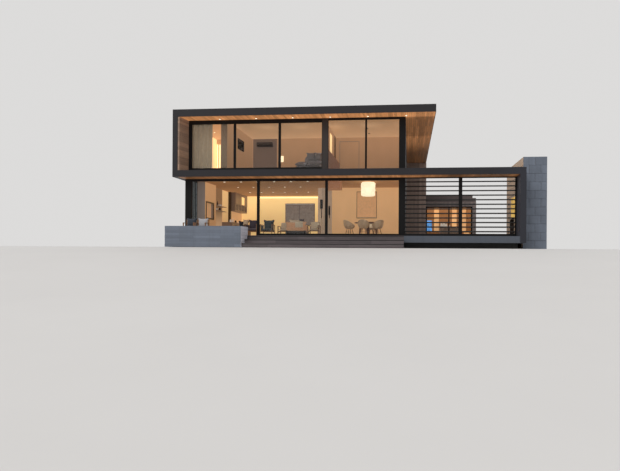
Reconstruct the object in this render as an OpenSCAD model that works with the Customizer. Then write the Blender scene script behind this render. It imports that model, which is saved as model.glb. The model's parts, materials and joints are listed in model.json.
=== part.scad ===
// Two-storey beach house: a folded ribbon of roof, side wall, floor band, canopy and terrace
// holds a glazed box upstairs and a glazed living floor below, with a slatted courtyard screen.
// Units are millimetres. X runs along the front, Y into the house, Z up from the ground.
// The origin is on the ground, under the middle of the ribbon's front face.

/* [Ribbon] */
// Width of the house, from the ribbon's left side to the right side wall
house_w = 11180; // [10900:10:11600]
// How far the roof hangs out past the right side wall
overhang_w = 1410; // [1300:10:1600]
// Clear width of the courtyard, from the side wall to the ribbon's right leg
court_w = 5190; // [5000:10:5600]
// Depth of the house from the front of the ribbon to the rear wall
house_d = 14000; // [13400:10:15000]
// Thickness of the left side of the ribbon
side_t = 250; // [200:5:300]
// Thickness of the right leg of the ribbon
leg_t = 270; // [220:5:300]
// Depth of the canopy and of the right leg
canopy_d = 1060; // [1000:10:1300]
// Thickness of the timber lining under the ribbon
lining_t = 55; // [30:5:70]
// Width of the ribbon's own edge in front of the lining
edge_lip = 20; // [10:5:30]
// Width of the upstand round the flat roof
upstand_w = 180; // [150:10:240]
// Depth of the roof's tray below its upstand
tray_deep = 60; // [40:5:80]

/* [Levels] */
// Height of one step; the ground floor lies three of them up
riser_h = 190; // [186:1:195]
// Thickness of the terrace slab
slab_t = 310; // [260:5:340]
// Height of the ground floor ceiling
ceiling_z = 3380; // [3350:5:3420]
// Thickness of the floor band between the storeys
band_t = 320; // [280:5:340]
// Height of the upper ceiling
roof_under_z = 6275; // [6200:5:6350]
// Thickness of the roof
roof_t = 355; // [300:5:400]

/* [Walls] */
// Thickness of the outside walls
wall_t = 250; // [200:5:280]
// Thickness of the partitions
partition_t = 120; // [90:5:150]
// How far the ground floor's left wall stands in from the ribbon's left side
left_setback = 300; // [280:5:340]
// Distance of the glazing behind the front of the ribbon
glaze_y = 795; // [780:5:820]

/* [Windows] */
// Depth of the window frames
frame_d = 110; // [90:5:130]
// Width of the upper windows' left jamb
upper_jamb_w = 144; // [100:2:160]
// Width of the first upper pane
upper_pane_1 = 2157; // [2000:1:2250]
// Width of the second upper pane
upper_pane_2 = 2166; // [2000:1:2250]
// Width of the third upper pane
upper_pane_3 = 2054; // [1950:1:2100]
// Width of the first pane right of the wide post
upper_pane_4 = 1811; // [1700:1:1900]
// Width of the upright bars of the upper left windows
mullion_w = 90; // [60:5:110]
// Width of the bar between the two right upper panes
slim_bar_w = 62; // [50:2:80]
// Width of the wide post between the two upper window groups
wide_post_w = 293; // [250:1:320]
// Width of the right jamb of both storeys
right_jamb_w = 283; // [240:1:300]
// Height of the upper left windows' bottom rail
upper_rail_h = 200; // [150:5:230]
// Height of the upper left windows' head
upper_head_h = 175; // [120:5:200]
// Height of the upper right windows' head and bottom rail
slim_rail_h = 90; // [70:5:110]
// Width of the lower left jamb
lower_jamb_w = 330; // [290:5:350]
// Width of the open bay that the sliding door closes
door_bay_w = 3319; // [3250:1:3350]
// Width of the upright beside the open bay
door_post_w = 120; // [110:1:130]
// Width of the middle lower pane
lower_pane_w = 3275; // [3200:1:3350]
// Width of the upright between the lower panes
lower_bar_w = 103; // [80:1:110]
// Height of the lower windows' head
lower_head_h = 115; // [90:5:130]
// Height of the lower windows' bottom rail
lower_rail_h = 102; // [80:2:120]
// Thickness of the glass
glass_t = 24; // [12:2:30]
// Width of the bars of the window beside the left corner
slot_bar = 60; // [50:5:70]
// Width of the bars of the side and rear windows
side_bar = 80; // [60:5:100]
// Width of the bars of the wing's window
wing_bar = 90; // [70:5:110]

/* [Sliding door] */
// Depth of the sliding door's frame
door_d = 60; // [50:5:70]
// Gap round the sliding door
door_gap = 10; // [8:1:16]
// Width of the sliding door's uprights and rails
stile_w = 100; // [80:5:120]
// Length of the shoes that the door runs on
shoe_l = 160; // [120:10:200]
// Distance of the shoes from the ends of the door
shoe_inset = 250; // [200:10:300]

/* [Screen] */
// Height from one blade to the next
blade_pitch = 215; // [190:5:220]
// Height of the lowest blade over the terrace
blade_start = 232; // [200:2:240]
// Width of a blade across its face
blade_chord = 100; // [70:5:120]
// Thickness of a blade
blade_t = 15; // [10:1:25]
// Tilt of the blades from level
blade_tilt = 35; // [20:1:50]
// Width of the screen's left bay
screen_bay_w = 2529; // [2400:1:2600]
// Width of the screen's middle post
screen_post_w = 165; // [120:5:180]
// Width of the screen's end post
screen_end_w = 58; // [50:2:80]
// Depth of the screen's posts and rails
screen_d = 90; // [90:5:110]
// Height of the screen's bottom rail
screen_sill_h = 130; // [100:5:140]
// Height of the screen's top rail
screen_head_h = 45; // [35:5:60]

/* [Outside] */
// Depth of a step tread
tread_d = 430; // [380:10:450]
// Gap between the ribbon's left side and the planter
planter_inset = 95; // [60:5:150]
// Length of the concrete planter
planter_l = 3631; // [3400:1:3700]
// Depth of the concrete planter
planter_d = 1060; // [1000:10:1200]
// Height of the concrete planter
planter_h = 970; // [900:10:1000]
// Wall thickness of the planter
planter_wall = 150; // [100:10:200]
// Depth of the deck beside the planter
planter_deck_d = 685; // [650:5:720]
// How far the plinth stands back under the terrace
recess_d = 500; // [300:10:600]
// Width of the chimney wall
chimney_w = 1090; // [1000:10:1200]
// Length of the chimney wall
chimney_l = 4130; // [3800:10:4300]
// Number of block courses in the chimney wall
course_n = 11; // [10:1:12]
// Height of one course of the chimney wall
course_h = 395; // [390:1:410]
// Gap between the ribbon's leg and the chimney wall
chimney_gap = 80; // [60:5:100]
// Length of the fire opening
fire_l = 1000; // [900:10:1100]
// Depth of the fire opening
fire_d = 600; // [560:10:650]
// Width of the flue
flue_w = 250; // [200:10:260]

/* [Wing] */
// Length of the rear wing
wing_l = 3990; // [3700:10:4200]
// Width of the rear wing
wing_w = 3550; // [3400:10:3600]
// Height of the wing's window
wing_head_z = 3110; // [3000:10:3150]
// Height of the wing's walls
wing_wall_z = 3450; // [3400:10:3480]
// Height of the wing's roof
wing_roof_z = 3720; // [3650:10:3760]
// Height of the wing's upper roof tier
wing_top_z = 3920; // [3850:10:3980]
// Width of the wing's right post
wing_post_w = 240; // [200:10:260]
// Thickness of the wing's walls
wing_wall_t = 200; // [150:10:220]

/* [Rooms] */
// Depth of the window beside the left corner
slot_l = 795; // [700:5:850]
// Width of the hearth pier
pier_w = 406; // [350:2:450]
// Length of the hearth pier
pier_l = 1500; // [1400:10:1600]
// Distance of the living room's back wall behind the front
living_back_y = 8800; // [8600:10:9000]
// Distance of the dining wall behind the front
dining_back_y = 4600; // [4500:10:4700]
// Distance of the upper rooms' back wall behind the front
upper_back_y = 5100; // [4950:10:5150]
// Width of the living room
living_w = 5770; // [5650:10:5900]
// Width of the upper left room
upper_left_w = 1610; // [1550:5:1650]
// Thickness of the wall between the upper left rooms
upper_wall_t = 315; // [250:5:330]
// Thickness of the cupboard wall between the living room and the hall
cupboard_t = 790; // [700:10:850]
// Distance from the right side wall to the partition between the upper rooms
upper_right_w = 3670; // [3600:10:3720]
// Height of the low wall beside that partition
ledge_h = 1100; // [1000:10:1150]

/* [Furniture] */
// Radius of the dining table
table_r = 680; // [600:10:720]
// Height of the dining table
table_h = 740; // [720:5:760]
// Height of the dining chairs' seat
seat_h = 400; // [380:5:430]
// Height of an easy chair
easy_h = 880; // [800:10:920]
// Width of an easy chair
easy_w = 650; // [620:10:680]
// Width of the sofa
sofa_w = 1080; // [1000:10:1120]
// Drop of the pendant lamp's top below the ceiling
lamp_drop = 30; // [20:5:60]
// Height of the pendant lamp
lamp_h = 690; // [640:10:720]

/* [Hidden] */
floor_z = 3 * riser_h;
ribbon_w = house_w + court_w + leg_t;
half_w = ribbon_w / 2;
side_face_x = -half_w + house_w;
roof_x1 = side_face_x + overhang_w;
inner_x0 = -half_w + side_t;
leg_x0 = half_w - leg_t;
slab_z = floor_z - slab_t;
band_z = ceiling_z + band_t;
roof_z = roof_under_z + roof_t;
rear_y = house_d - wall_t;
left_face_x = -half_w + left_setback;
room_x0 = left_face_x + wall_t;
room_x1 = side_face_x - wall_t;
room_y0 = glaze_y + frame_d;
// the glass sits this far behind the front of its frame
glass_set = 30;
glass_y = glaze_y + glass_set;
// a cut runs past the face that it opens by this much
past = 50;
// thickness of the lining beside the upper windows, at its front and at the glazing
reveal_front_t = 85;
reveal_back_t = 215;
upper_x0 = inner_x0 + reveal_back_t;

// upper windows: left edge of each upright
up_glass_x0 = upper_x0 + upper_jamb_w;
up_m1 = up_glass_x0 + upper_pane_1;
up_m2 = up_m1 + mullion_w + upper_pane_2;
up_post = up_m2 + mullion_w + upper_pane_3;
up_m3 = up_post + wide_post_w + upper_pane_4;
up_right = side_face_x - right_jamb_w;
up_rail_z = band_z + upper_rail_h;
up_head_z = roof_under_z - upper_head_h;
slim_rail_z = band_z + slim_rail_h;
slim_head_z = roof_under_z - slim_rail_h;

// lower windows: edges of the uprights
low_jamb_x1 = left_face_x + lower_jamb_w;
low_post_x = low_jamb_x1 + door_bay_w;
low_pane_x0 = low_post_x + door_post_w;
low_bar_x = low_pane_x0 + lower_pane_w;
low_right = side_face_x - right_jamb_w;
low_head_z = ceiling_z - lower_head_h;
low_rail_z = floor_z + lower_rail_h;

// sliding door, which stands open behind the middle pane and laps its post
door_lap = 15;
door_x0 = low_post_x - door_lap;
door_x1 = low_bar_x + lower_bar_w;
door_y0 = glaze_y + frame_d + door_gap;
door_y1 = door_y0 + door_d;
door_z0 = floor_z + door_gap;
door_z1 = ceiling_z - door_gap;
door_glass_set = 18;
shoe_gap = 0.3;
shoe_t = 20;
shoe_y0 = door_y0 + (door_d - shoe_t) / 2;

// steps, planter and chimney wall
planter_x0 = -half_w + planter_inset;
planter_x1 = planter_x0 + planter_l;
planter_y1 = glaze_y - planter_deck_d;
planter_y0 = planter_y1 - planter_d;
planter_floor = 150;
planter_gap = 4;
step_set = 30;
step_x0 = planter_x1 + planter_gap;
step_x1 = side_face_x - step_set;
chimney_x0 = half_w + chimney_gap;
chimney_x1 = chimney_x0 + chimney_w;
chimney_y0 = canopy_d;
chimney_y1 = chimney_y0 + chimney_l;
chimney_h = course_n * course_h;
// the fire opening takes the third and the fourth course
fire_y0 = chimney_y0 + 2120;
fire_y1 = fire_y0 + fire_l;
fire_z0 = 2 * course_h;
fire_z1 = 4 * course_h;
fire_x1 = chimney_x0 + fire_d;
fire_lip = 12;
fire_plate = 40;
flue_x0 = fire_x1 - flue_w;
flue_y0 = (fire_y0 + fire_y1 - flue_w) / 2;
flue_y1 = flue_y0 + flue_w;

// screen
screen_set = 20;
screen_y = glaze_y + screen_set;
// half the height that a tilted blade takes, and how many blades fit under the top rail
blade_reach = (blade_chord * sin(blade_tilt) + blade_t * cos(blade_tilt)) / 2;
blade_room = ceiling_z - screen_head_h - blade_reach - floor_z - blade_start;
blade_n = floor(blade_room / blade_pitch) + 1;
post2_x = side_face_x + screen_bay_w;
end_post_x = leg_x0 - screen_end_w;

// side and rear windows: low and high Y or X, then low and high Z
side_low_win = [5400, 9400, floor_z, floor_z + 2410];
side_up_win = [5200, 9200, band_z + 600, band_z + 2375];
rear_win_set = 1270;
rear_win_pitch = 5000;
rear_win_xs = [room_x0 + rear_win_set, room_x0 + rear_win_set + rear_win_pitch];
rear_win_w = 3000;
rear_win_zs = [[floor_z, floor_z + 2410], [band_z + 800, band_z + 2375]];
light_frame_d = 90;
light_frame_set = 20;
light_glass_set = 30;
slot_frame_set = 60;
slot_y1 = room_y0 + slot_l;

// wing
wing_x1 = roof_x1 + wing_w;
wing_y1 = rear_y + wing_l;
wing_open_x1 = wing_x1 - wing_post_w;
wing_room_y0 = house_d + 100;
wing_frame_set = 100;
// counter in the wing, measured from the wing's inner corner at the front left
counter_x = 1080;
counter_y = 1000;
counter_l = 1370;
counter_d = 600;
counter_h = 1100;

// rooms
pier_x1 = room_x0 + pier_w;
pier_y1 = slot_y1 + pier_l;
niche_d = 150;
niche_y = [slot_y1 + 100, pier_y1 - 300];
niche_z = [floor_z + 905, floor_z + 1815];
living_x1 = room_x0 + living_w;
hall_x0 = living_x1 + cupboard_t;
living_wall_y1 = living_back_y + partition_t;
upper_left_x = upper_x0 + upper_left_w;
bedroom_x0 = upper_left_x + upper_wall_t;
bedroom_x1 = room_x1 - upper_right_w;
// clearance between the windows and the partitions that run up to them
wall_end_gap = 20;
ledge_t = 180;

// kitchen: base units, wall units with open niches, and shelves
base_d = 620;
base_h = 900;
base_y0 = 5200;
wall_unit_d = 370;
wall_unit_y0 = 6500;
wall_unit_z0 = floor_z + 1680;
unit_niche_n = 4;
unit_niche_set = 90;
unit_niche_h = 330;
unit_niche_d = 300;
shelf_d = 300;
shelf_t = 30;
shelf_zs = [floor_z + 1495, floor_z + 1755];

// dining room
lamp_x = room_x1 - 1627;
lamp_y = 2300;
lamp_r = 400;
lamp_end_r = 300;
lamp_ease = 110;
lamp_z0 = ceiling_z - lamp_drop - lamp_h;
cord_r = 40;
// casing under the ceiling, to the left of the lamp
bulk_gap = 923;
bulk_w = 720;
bulk_x0 = lamp_x - lamp_r - bulk_gap - bulk_w;
bulk_y0 = 1300;
bulk_d = 900;
bulk_h = 440;
table_top_t = 40;
// legs of the table, with their distance from its rim at the top and on the floor
table_leg_r = 40;
table_leg_top = 300;
table_leg_foot = 240;
board_t = 40;
board_set = 2440;
board_x = room_x1 - board_set;
board_w = 1115;
board_h = 1475;
board_rise = 1105;
board_z = [floor_z + board_rise, floor_z + board_rise + board_h];

// shell chairs: place from the middle of the table, then turn
chair_spots = [[-873, -600, 35], [-138, -900, 81], [522, -600, 131], [100, 940, 264]];
shell_t = 15;
pan_r = 190;
arm_r = 290;
back_r = 315;
arm_rise = 180;
back_rise = 430;
rim_rise = 245;
rim_tilt = 30;
leg_r = 17;
leg_top_r = 120;
leg_foot_r = 245;

// easy chairs: place of the front left corner
easy_d = 700;
easy_arm = 90;
easy_arm_h = 620;
easy_back = 140;
easy_seat_h = 400;
easy_leg_h = 230;
easy_leg_r = 20;
easy_leg_set = 90;
easy_xs = [3305, 2560, 1690];
easy_ys = [1600, 1450, 2450];

// lounge chairs with wooden sides
lounge_w = 560;
lounge_d = 720;
lounge_h = 740;
lounge_bar = 45;
lounge_arm_z = 560;
lounge_seat_z = 300;
lounge_pad = 120;
lounge_lean = 20;
lounge_xs = [4070, 5800];
lounge_ys = [2250, 1420];

// deck chairs
deck_seat_w = 560;
deck_seat_d = 480;
deck_seat_t = 60;
deck_seat_z = 400;
deck_seat_h = 850;
deck_leg = 40;
deck_seat_y = glaze_y - 580;
deck_seat_xs = [left_face_x + 140, left_face_x + 730];

// sofa, seen from behind
sofa_set = 4640;
sofa_x = room_x0 + sofa_set;
sofa_y = 1500;
sofa_d = 900;
sofa_h = 740;
sofa_arm = 150;
sofa_arm_h = 600;
sofa_back = 200;
sofa_seat_h = 420;

// screens, air unit, curtain and couch
screen_t = 60;
living_screen_set = 2910;
living_screen_x = room_x0 + living_screen_set;
living_screen_w = 1930;
living_screen_h = 1190;
living_screen_rise = 1140;
living_screen_z0 = floor_z + living_screen_rise;
wing_screen_x = roof_x1 + 60;
wing_screen_w = 540;
wing_screen_z = [floor_z + 930, floor_z + 1760];
bed_screen_set = 1595;
bed_screen_l = 900;
bed_screen_h = 550;
bed_screen_rise = 1500;
bed_screen_y0 = room_y0 + bed_screen_set;
bed_screen_z0 = band_z + bed_screen_rise;
air_x = bedroom_x0 + 300;
air_w = 910;
air_d = 190;
air_z = [band_z + 2100, band_z + 2340];
air_lip = 60;
curtain_x = upper_x0 + 60;
curtain_y = room_y0 + 60;
curtain_t = 25;
curtain_gap = 10;
fold = 120;
fold_n = 9;
fold_d = 60;
couch_w = 1400;
couch_gap = 170;
couch_x = bedroom_x1 - partition_t - couch_gap - couch_w;
couch_y = 2000;
couch_d = 900;
couch_h = 1165;
couch_seat_h = 730;
couch_seat_w = 460;
couch_slope_w = 160;

// box from one corner to the opposite one
module block(lo, hi) {
  translate(lo) cube([hi[0] - lo[0], hi[1] - lo[1], hi[2] - lo[2]]);
}

// flat plate with a plan outline, between two heights
module plate(z0, z1, outline) {
  translate([0, 0, z0]) linear_extrude(height = z1 - z0) polygon(outline);
}

// ribbon

// plan of the timber lining under the roof: front strip and right overhang
module roof_lining_plan() {
  polygon([
    [inner_x0, edge_lip], [roof_x1 - edge_lip, edge_lip],
    [roof_x1 - edge_lip, rear_y], [side_face_x, rear_y],
    [side_face_x, glaze_y], [inner_x0, glaze_y]
  ]);
}

// plan of the timber lining under the floor band and the canopy
module band_lining_plan() {
  polygon([
    [inner_x0, edge_lip], [leg_x0, edge_lip],
    [leg_x0, canopy_d - edge_lip], [side_face_x, canopy_d - edge_lip],
    [side_face_x, glaze_y], [inner_x0, glaze_y]
  ]);
}

module roof_slab() {
  color([0.20, 0.22, 0.25])
  difference() {
    block([-half_w, 0, roof_under_z], [roof_x1, house_d, roof_z]);
    translate([0, 0, roof_under_z - past])
      linear_extrude(height = past + lining_t) roof_lining_plan();
    block([-half_w + upstand_w, upstand_w, roof_z - tray_deep],
      [roof_x1 - upstand_w, house_d - upstand_w, roof_z + past]);
  }
}

module roof_soffit() {
  color([0.62, 0.38, 0.20])
  translate([0, 0, roof_under_z]) linear_extrude(height = lining_t) roof_lining_plan();
}

module left_ribbon_wall() {
  color([0.20, 0.22, 0.25])
  block([-half_w, 0, ceiling_z], [inner_x0, house_d, roof_under_z]);
}

module left_reveal_lining() {
  color([0.62, 0.38, 0.20])
  plate(band_z, roof_under_z, [
    [inner_x0, edge_lip], [inner_x0 + reveal_front_t, edge_lip],
    [upper_x0, glaze_y], [upper_x0, room_y0], [inner_x0, room_y0]
  ]);
}

module floor_band() {
  color([0.20, 0.22, 0.25])
  difference() {
    block([inner_x0, 0, ceiling_z], [half_w, canopy_d, band_z]);
    translate([0, 0, ceiling_z - past])
      linear_extrude(height = past + lining_t) band_lining_plan();
  }
}

module band_soffit() {
  color([0.62, 0.38, 0.20])
  translate([0, 0, ceiling_z]) linear_extrude(height = lining_t) band_lining_plan();
}

module upper_floor() {
  color([0.75, 0.70, 0.62])
  block([inner_x0, canopy_d, ceiling_z], [side_face_x, house_d, band_z]);
}

module right_ribbon_leg() {
  color([0.20, 0.22, 0.25])
  block([leg_x0, 0, slab_z], [half_w, canopy_d, ceiling_z]);
}

module terrace_slab() {
  color([0.45, 0.48, 0.52])
  plate(slab_z, floor_z, [
    [step_x1, 0], [leg_x0, 0], [leg_x0, canopy_d], [chimney_x0, canopy_d],
    [chimney_x0, rear_y], [side_face_x, rear_y], [side_face_x, glaze_y], [step_x1, glaze_y]
  ]);
}

// ground

module plinth() {
  color([0.22, 0.22, 0.23]) {
    block([room_x0, room_y0, 0], [room_x1, rear_y, slab_z]);
    block([side_face_x, recess_d, 0], [leg_x0, rear_y, slab_z]);
  }
}

module ground_floor() {
  color([0.55, 0.42, 0.30])
  block([room_x0, glaze_y, slab_z], [room_x1, rear_y, floor_z]);
}

module front_deck() {
  color([0.42, 0.36, 0.32]) {
    block([step_x0, 0, 2 * riser_h], [step_x1, glaze_y, floor_z]);
    block([left_face_x, planter_y1, 0], [step_x0, glaze_y, floor_z]);
  }
}

module step_lower() {
  color([0.42, 0.36, 0.32])
  block([step_x0, -2 * tread_d, 0], [step_x1, glaze_y, riser_h]);
}

module step_upper() {
  color([0.42, 0.36, 0.32])
  block([step_x0, -tread_d, riser_h], [step_x1, glaze_y, 2 * riser_h]);
}

module planter_box() {
  color([0.55, 0.58, 0.62])
  difference() {
    block([planter_x0, planter_y0, 0], [planter_x1, planter_y1, planter_h]);
    block([planter_x0 + planter_wall, planter_y0 + planter_wall, planter_floor],
      [planter_x1 - planter_wall, planter_y1 - planter_wall, planter_h + past]);
  }
}

module chimney_wall() {
  color([0.50, 0.52, 0.55])
  difference() {
    block([chimney_x0, chimney_y0, 0], [chimney_x1, chimney_y1, chimney_h]);
    block([chimney_x0 - past, fire_y0, fire_z0], [fire_x1, fire_y1, fire_z1]);
    block([flue_x0, flue_y0, fire_z1 - past], [fire_x1, flue_y1, chimney_h + past]);
  }
}

module chimney_firebox() {
  color([0.12, 0.12, 0.12])
  difference() {
    block([chimney_x0 - fire_lip, fire_y0, fire_z0], [fire_x1, fire_y1, fire_z1]);
    block([chimney_x0 - past, fire_y0 + fire_plate, fire_z0 + fire_plate],
      [fire_x1 - fire_plate, fire_y1 - fire_plate, fire_z1 - fire_plate]);
    block([flue_x0, flue_y0, fire_z1 - 2 * fire_plate],
      [fire_x1 - fire_plate, flue_y1, fire_z1 + past]);
  }
}

// courtyard screen

module screen_posts() {
  color([0.10, 0.10, 0.11]) {
    block([post2_x, screen_y, floor_z], [post2_x + screen_post_w, screen_y + screen_d, ceiling_z]);
    block([end_post_x, screen_y, floor_z], [leg_x0, screen_y + screen_d, ceiling_z]);
  }
}

// one bay of the screen: bottom rail, top rail and the tilted blades between them
module blade_panel(x0, x1) {
  block([x0, screen_y, floor_z], [x1, screen_y + screen_d, floor_z + screen_sill_h]);
  block([x0, screen_y, ceiling_z - screen_head_h], [x1, screen_y + screen_d, ceiling_z]);
  for (i = [0 : blade_n - 1])
    translate([x0, screen_y + screen_d / 2, floor_z + blade_start + i * blade_pitch])
      rotate([blade_tilt, 0, 0])
        translate([0, -blade_chord / 2, -blade_t / 2]) cube([x1 - x0, blade_chord, blade_t]);
}

module screen_blades_left() {
  color([0.12, 0.12, 0.13]) blade_panel(side_face_x, post2_x);
}

module screen_blades_right() {
  color([0.12, 0.12, 0.13]) blade_panel(post2_x + screen_post_w, end_post_x);
}

// outside walls

module left_wall_lower() {
  color([0.30, 0.31, 0.33]) {
    block([left_face_x, slot_y1, 0], [room_x0, house_d, ceiling_z]);
    block([left_face_x, glaze_y, 0], [room_x0, slot_y1, floor_z]);
  }
}

// right side wall of one storey with its window opening cut through
module side_wall(z0, z1, win) {
  difference() {
    block([room_x1, room_y0, z0], [side_face_x, house_d, z1]);
    block([room_x1 - past, win[0], win[2]], [side_face_x + past, win[1], win[3]]);
  }
}

module side_wall_lower() {
  color([0.30, 0.31, 0.33]) side_wall(0, ceiling_z, side_low_win);
}

module side_wall_upper() {
  color([0.30, 0.31, 0.33]) side_wall(band_z, roof_under_z, side_up_win);
}

// rear wall of one storey with its two window openings cut through
module rear_wall(x0, z0, z1, win_z) {
  difference() {
    block([x0, rear_y, z0], [room_x1, house_d, z1]);
    for (x = rear_win_xs)
      block([x, rear_y - past, win_z[0]], [x + rear_win_w, house_d + past, win_z[1]]);
  }
}

module rear_wall_lower() {
  color([0.30, 0.31, 0.33]) rear_wall(room_x0, 0, ceiling_z, rear_win_zs[0]);
}

module rear_wall_upper() {
  color([0.30, 0.31, 0.33]) rear_wall(inner_x0, band_z, roof_under_z, rear_win_zs[1]);
}

module timber_wall() {
  color([0.28, 0.20, 0.15])
  block([side_face_x, rear_y, 0], [roof_x1, house_d, roof_under_z]);
}

// windows

module upright(x0, x1, z0, z1) {
  block([x0, glaze_y, z0], [x1, glaze_y + frame_d, z1]);
}

module upper_window_frame() {
  color([0.06, 0.06, 0.07]) {
    upright(upper_x0, up_glass_x0, band_z, roof_under_z);
    upright(up_m1, up_m1 + mullion_w, up_rail_z, up_head_z);
    upright(up_m2, up_m2 + mullion_w, up_rail_z, up_head_z);
    upright(up_post, up_post + wide_post_w, band_z, roof_under_z);
    upright(up_m3, up_m3 + slim_bar_w, slim_rail_z, slim_head_z);
    upright(up_right, side_face_x, band_z, roof_under_z);
    upright(up_glass_x0, up_post, band_z, up_rail_z);
    upright(up_glass_x0, up_post, up_head_z, roof_under_z);
    upright(up_post + wide_post_w, up_right, band_z, slim_rail_z);
    upright(up_post + wide_post_w, up_right, slim_head_z, roof_under_z);
  }
}

module pane(x0, x1, z0, z1) {
  block([x0, glass_y, z0], [x1, glass_y + glass_t, z1]);
}

module upper_window_glass() {
  color([0.6, 0.75, 0.8, 0.35]) {
    pane(up_glass_x0, up_m1, up_rail_z, up_head_z);
    pane(up_m1 + mullion_w, up_m2, up_rail_z, up_head_z);
    pane(up_m2 + mullion_w, up_post, up_rail_z, up_head_z);
    pane(up_post + wide_post_w, up_m3, slim_rail_z, slim_head_z);
    pane(up_m3 + slim_bar_w, up_right, slim_rail_z, slim_head_z);
  }
}

module lower_window_frame() {
  color([0.06, 0.06, 0.07]) {
    upright(left_face_x, low_jamb_x1, floor_z, ceiling_z);
    upright(low_post_x, low_pane_x0, low_rail_z, low_head_z);
    upright(low_bar_x, low_bar_x + lower_bar_w, low_rail_z, low_head_z);
    upright(low_right, side_face_x, floor_z, ceiling_z);
    upright(low_jamb_x1, low_right, low_head_z, ceiling_z);
    upright(low_post_x, low_right, floor_z, low_rail_z);
  }
}

module lower_window_glass() {
  color([0.6, 0.75, 0.8, 0.35]) {
    pane(low_pane_x0, low_bar_x, low_rail_z, low_head_z);
    pane(low_bar_x + lower_bar_w, low_right, low_rail_z, low_head_z);
  }
}

module sliding_door_frame() {
  color([0.06, 0.06, 0.07]) {
    difference() {
      block([door_x0, door_y0, door_z0], [door_x1, door_y1, door_z1]);
      block([door_x0 + stile_w, door_y0 - past, door_z0 + stile_w],
        [door_x1 - stile_w, door_y1 + past, door_z1 - stile_w]);
    }
    for (x = [door_x0 + shoe_inset, door_x1 - shoe_inset - shoe_l])
      block([x, shoe_y0, floor_z + shoe_gap], [x + shoe_l, shoe_y0 + shoe_t, door_z0]);
  }
}

module sliding_door_glass() {
  color([0.6, 0.75, 0.8, 0.35])
  block([door_x0 + stile_w, door_y0 + door_glass_set, door_z0 + stile_w],
    [door_x1 - stile_w, door_y0 + door_glass_set + glass_t, door_z1 - stile_w]);
}

// window frame of two lights that lines an opening as wide as w and as high as h
module light_frame(w, d, h, bar) {
  light_w = (w - 3 * bar) / 2;
  difference() {
    cube([w, d, h]);
    for (x = [bar, 2 * bar + light_w])
      translate([x, -past, bar]) cube([light_w, d + 2 * past, h - 2 * bar]);
  }
}

// the two panes of such a frame
module light_panes(w, h, bar) {
  light_w = (w - 3 * bar) / 2;
  for (x = [bar, 2 * bar + light_w])
    translate([x, light_glass_set, bar]) cube([light_w, glass_t, h - 2 * bar]);
}

// puts a frame or its panes into the rear wall at x, or into the right or left wall at y
module at_rear(x, z) {
  translate([x, house_d - light_frame_set - light_frame_d, z]) children();
}

module at_right(y, z) {
  translate([side_face_x - light_frame_set, y, z]) rotate([0, 0, 90]) children();
}

module at_left(y, z) {
  translate([room_x0 - slot_frame_set, y, z]) rotate([0, 0, 90]) children();
}

slot_frame_d = wall_t - 2 * slot_frame_set;

module side_window_frames() {
  color([0.06, 0.06, 0.07]) {
    at_left(room_y0, floor_z) light_frame(slot_l, slot_frame_d, ceiling_z - floor_z, slot_bar);
    for (w = [side_low_win, side_up_win])
      at_right(w[0], w[2]) light_frame(w[1] - w[0], light_frame_d, w[3] - w[2], side_bar);
  }
}

module wing_frame_place() {
  translate([roof_x1, rear_y + wing_frame_set, floor_z]) children();
}

module rear_window_frames() {
  color([0.06, 0.06, 0.07]) {
    for (x = rear_win_xs)
      for (z = rear_win_zs)
        at_rear(x, z[0]) light_frame(rear_win_w, light_frame_d, z[1] - z[0], side_bar);
    wing_frame_place()
      light_frame(wing_open_x1 - roof_x1, light_frame_d, wing_head_z - floor_z, wing_bar);
  }
}

module side_window_glass() {
  color([0.6, 0.75, 0.8, 0.35]) {
    at_left(room_y0, floor_z) light_panes(slot_l, ceiling_z - floor_z, slot_bar);
    for (w = [side_low_win, side_up_win])
      at_right(w[0], w[2]) light_panes(w[1] - w[0], w[3] - w[2], side_bar);
    for (x = rear_win_xs)
      for (z = rear_win_zs)
        at_rear(x, z[0]) light_panes(rear_win_w, z[1] - z[0], side_bar);
    wing_frame_place() light_panes(wing_open_x1 - roof_x1, wing_head_z - floor_z, wing_bar);
  }
}

// rear wing

// outline of the wing, whose left wall stands behind the timber wall
function wing_plan(x1) = [
  [roof_x1, rear_y], [x1, rear_y], [x1, wing_y1],
  [roof_x1 - wing_wall_t, wing_y1], [roof_x1 - wing_wall_t, house_d], [roof_x1, house_d]
];

module wing_roof() {
  color([0.20, 0.21, 0.23]) {
    plate(wing_wall_z, wing_roof_z, wing_plan(wing_x1));
    plate(wing_roof_z, wing_top_z, wing_plan(wing_open_x1));
  }
}

module wing_walls() {
  color([0.34, 0.25, 0.19])
  difference() {
    plate(0, wing_wall_z, wing_plan(wing_x1));
    block([roof_x1, wing_room_y0, floor_z],
      [wing_x1 - wing_wall_t, wing_y1 - wing_wall_t, wing_wall_z + past]);
    block([roof_x1, rear_y - past, floor_z], [wing_open_x1, wing_room_y0 + past, wing_head_z]);
  }
}

// inside

// back wall of the living room, cupboard wall beside it and wall of the dining room
module lower_partitions() {
  color([0.86, 0.76, 0.60])
  difference() {
    plate(floor_z, ceiling_z, [
      [living_x1, dining_back_y], [room_x1, dining_back_y],
      [room_x1, dining_back_y + partition_t], [hall_x0, dining_back_y + partition_t],
      [hall_x0, living_wall_y1], [room_x0, living_wall_y1],
      [room_x0, living_back_y], [living_x1, living_back_y]
    ]);
    block([living_x1 + partition_t, dining_back_y + partition_t, floor_z - past],
      [hall_x0 - partition_t, living_wall_y1 - partition_t, ceiling_z + past]);
  }
}

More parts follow.
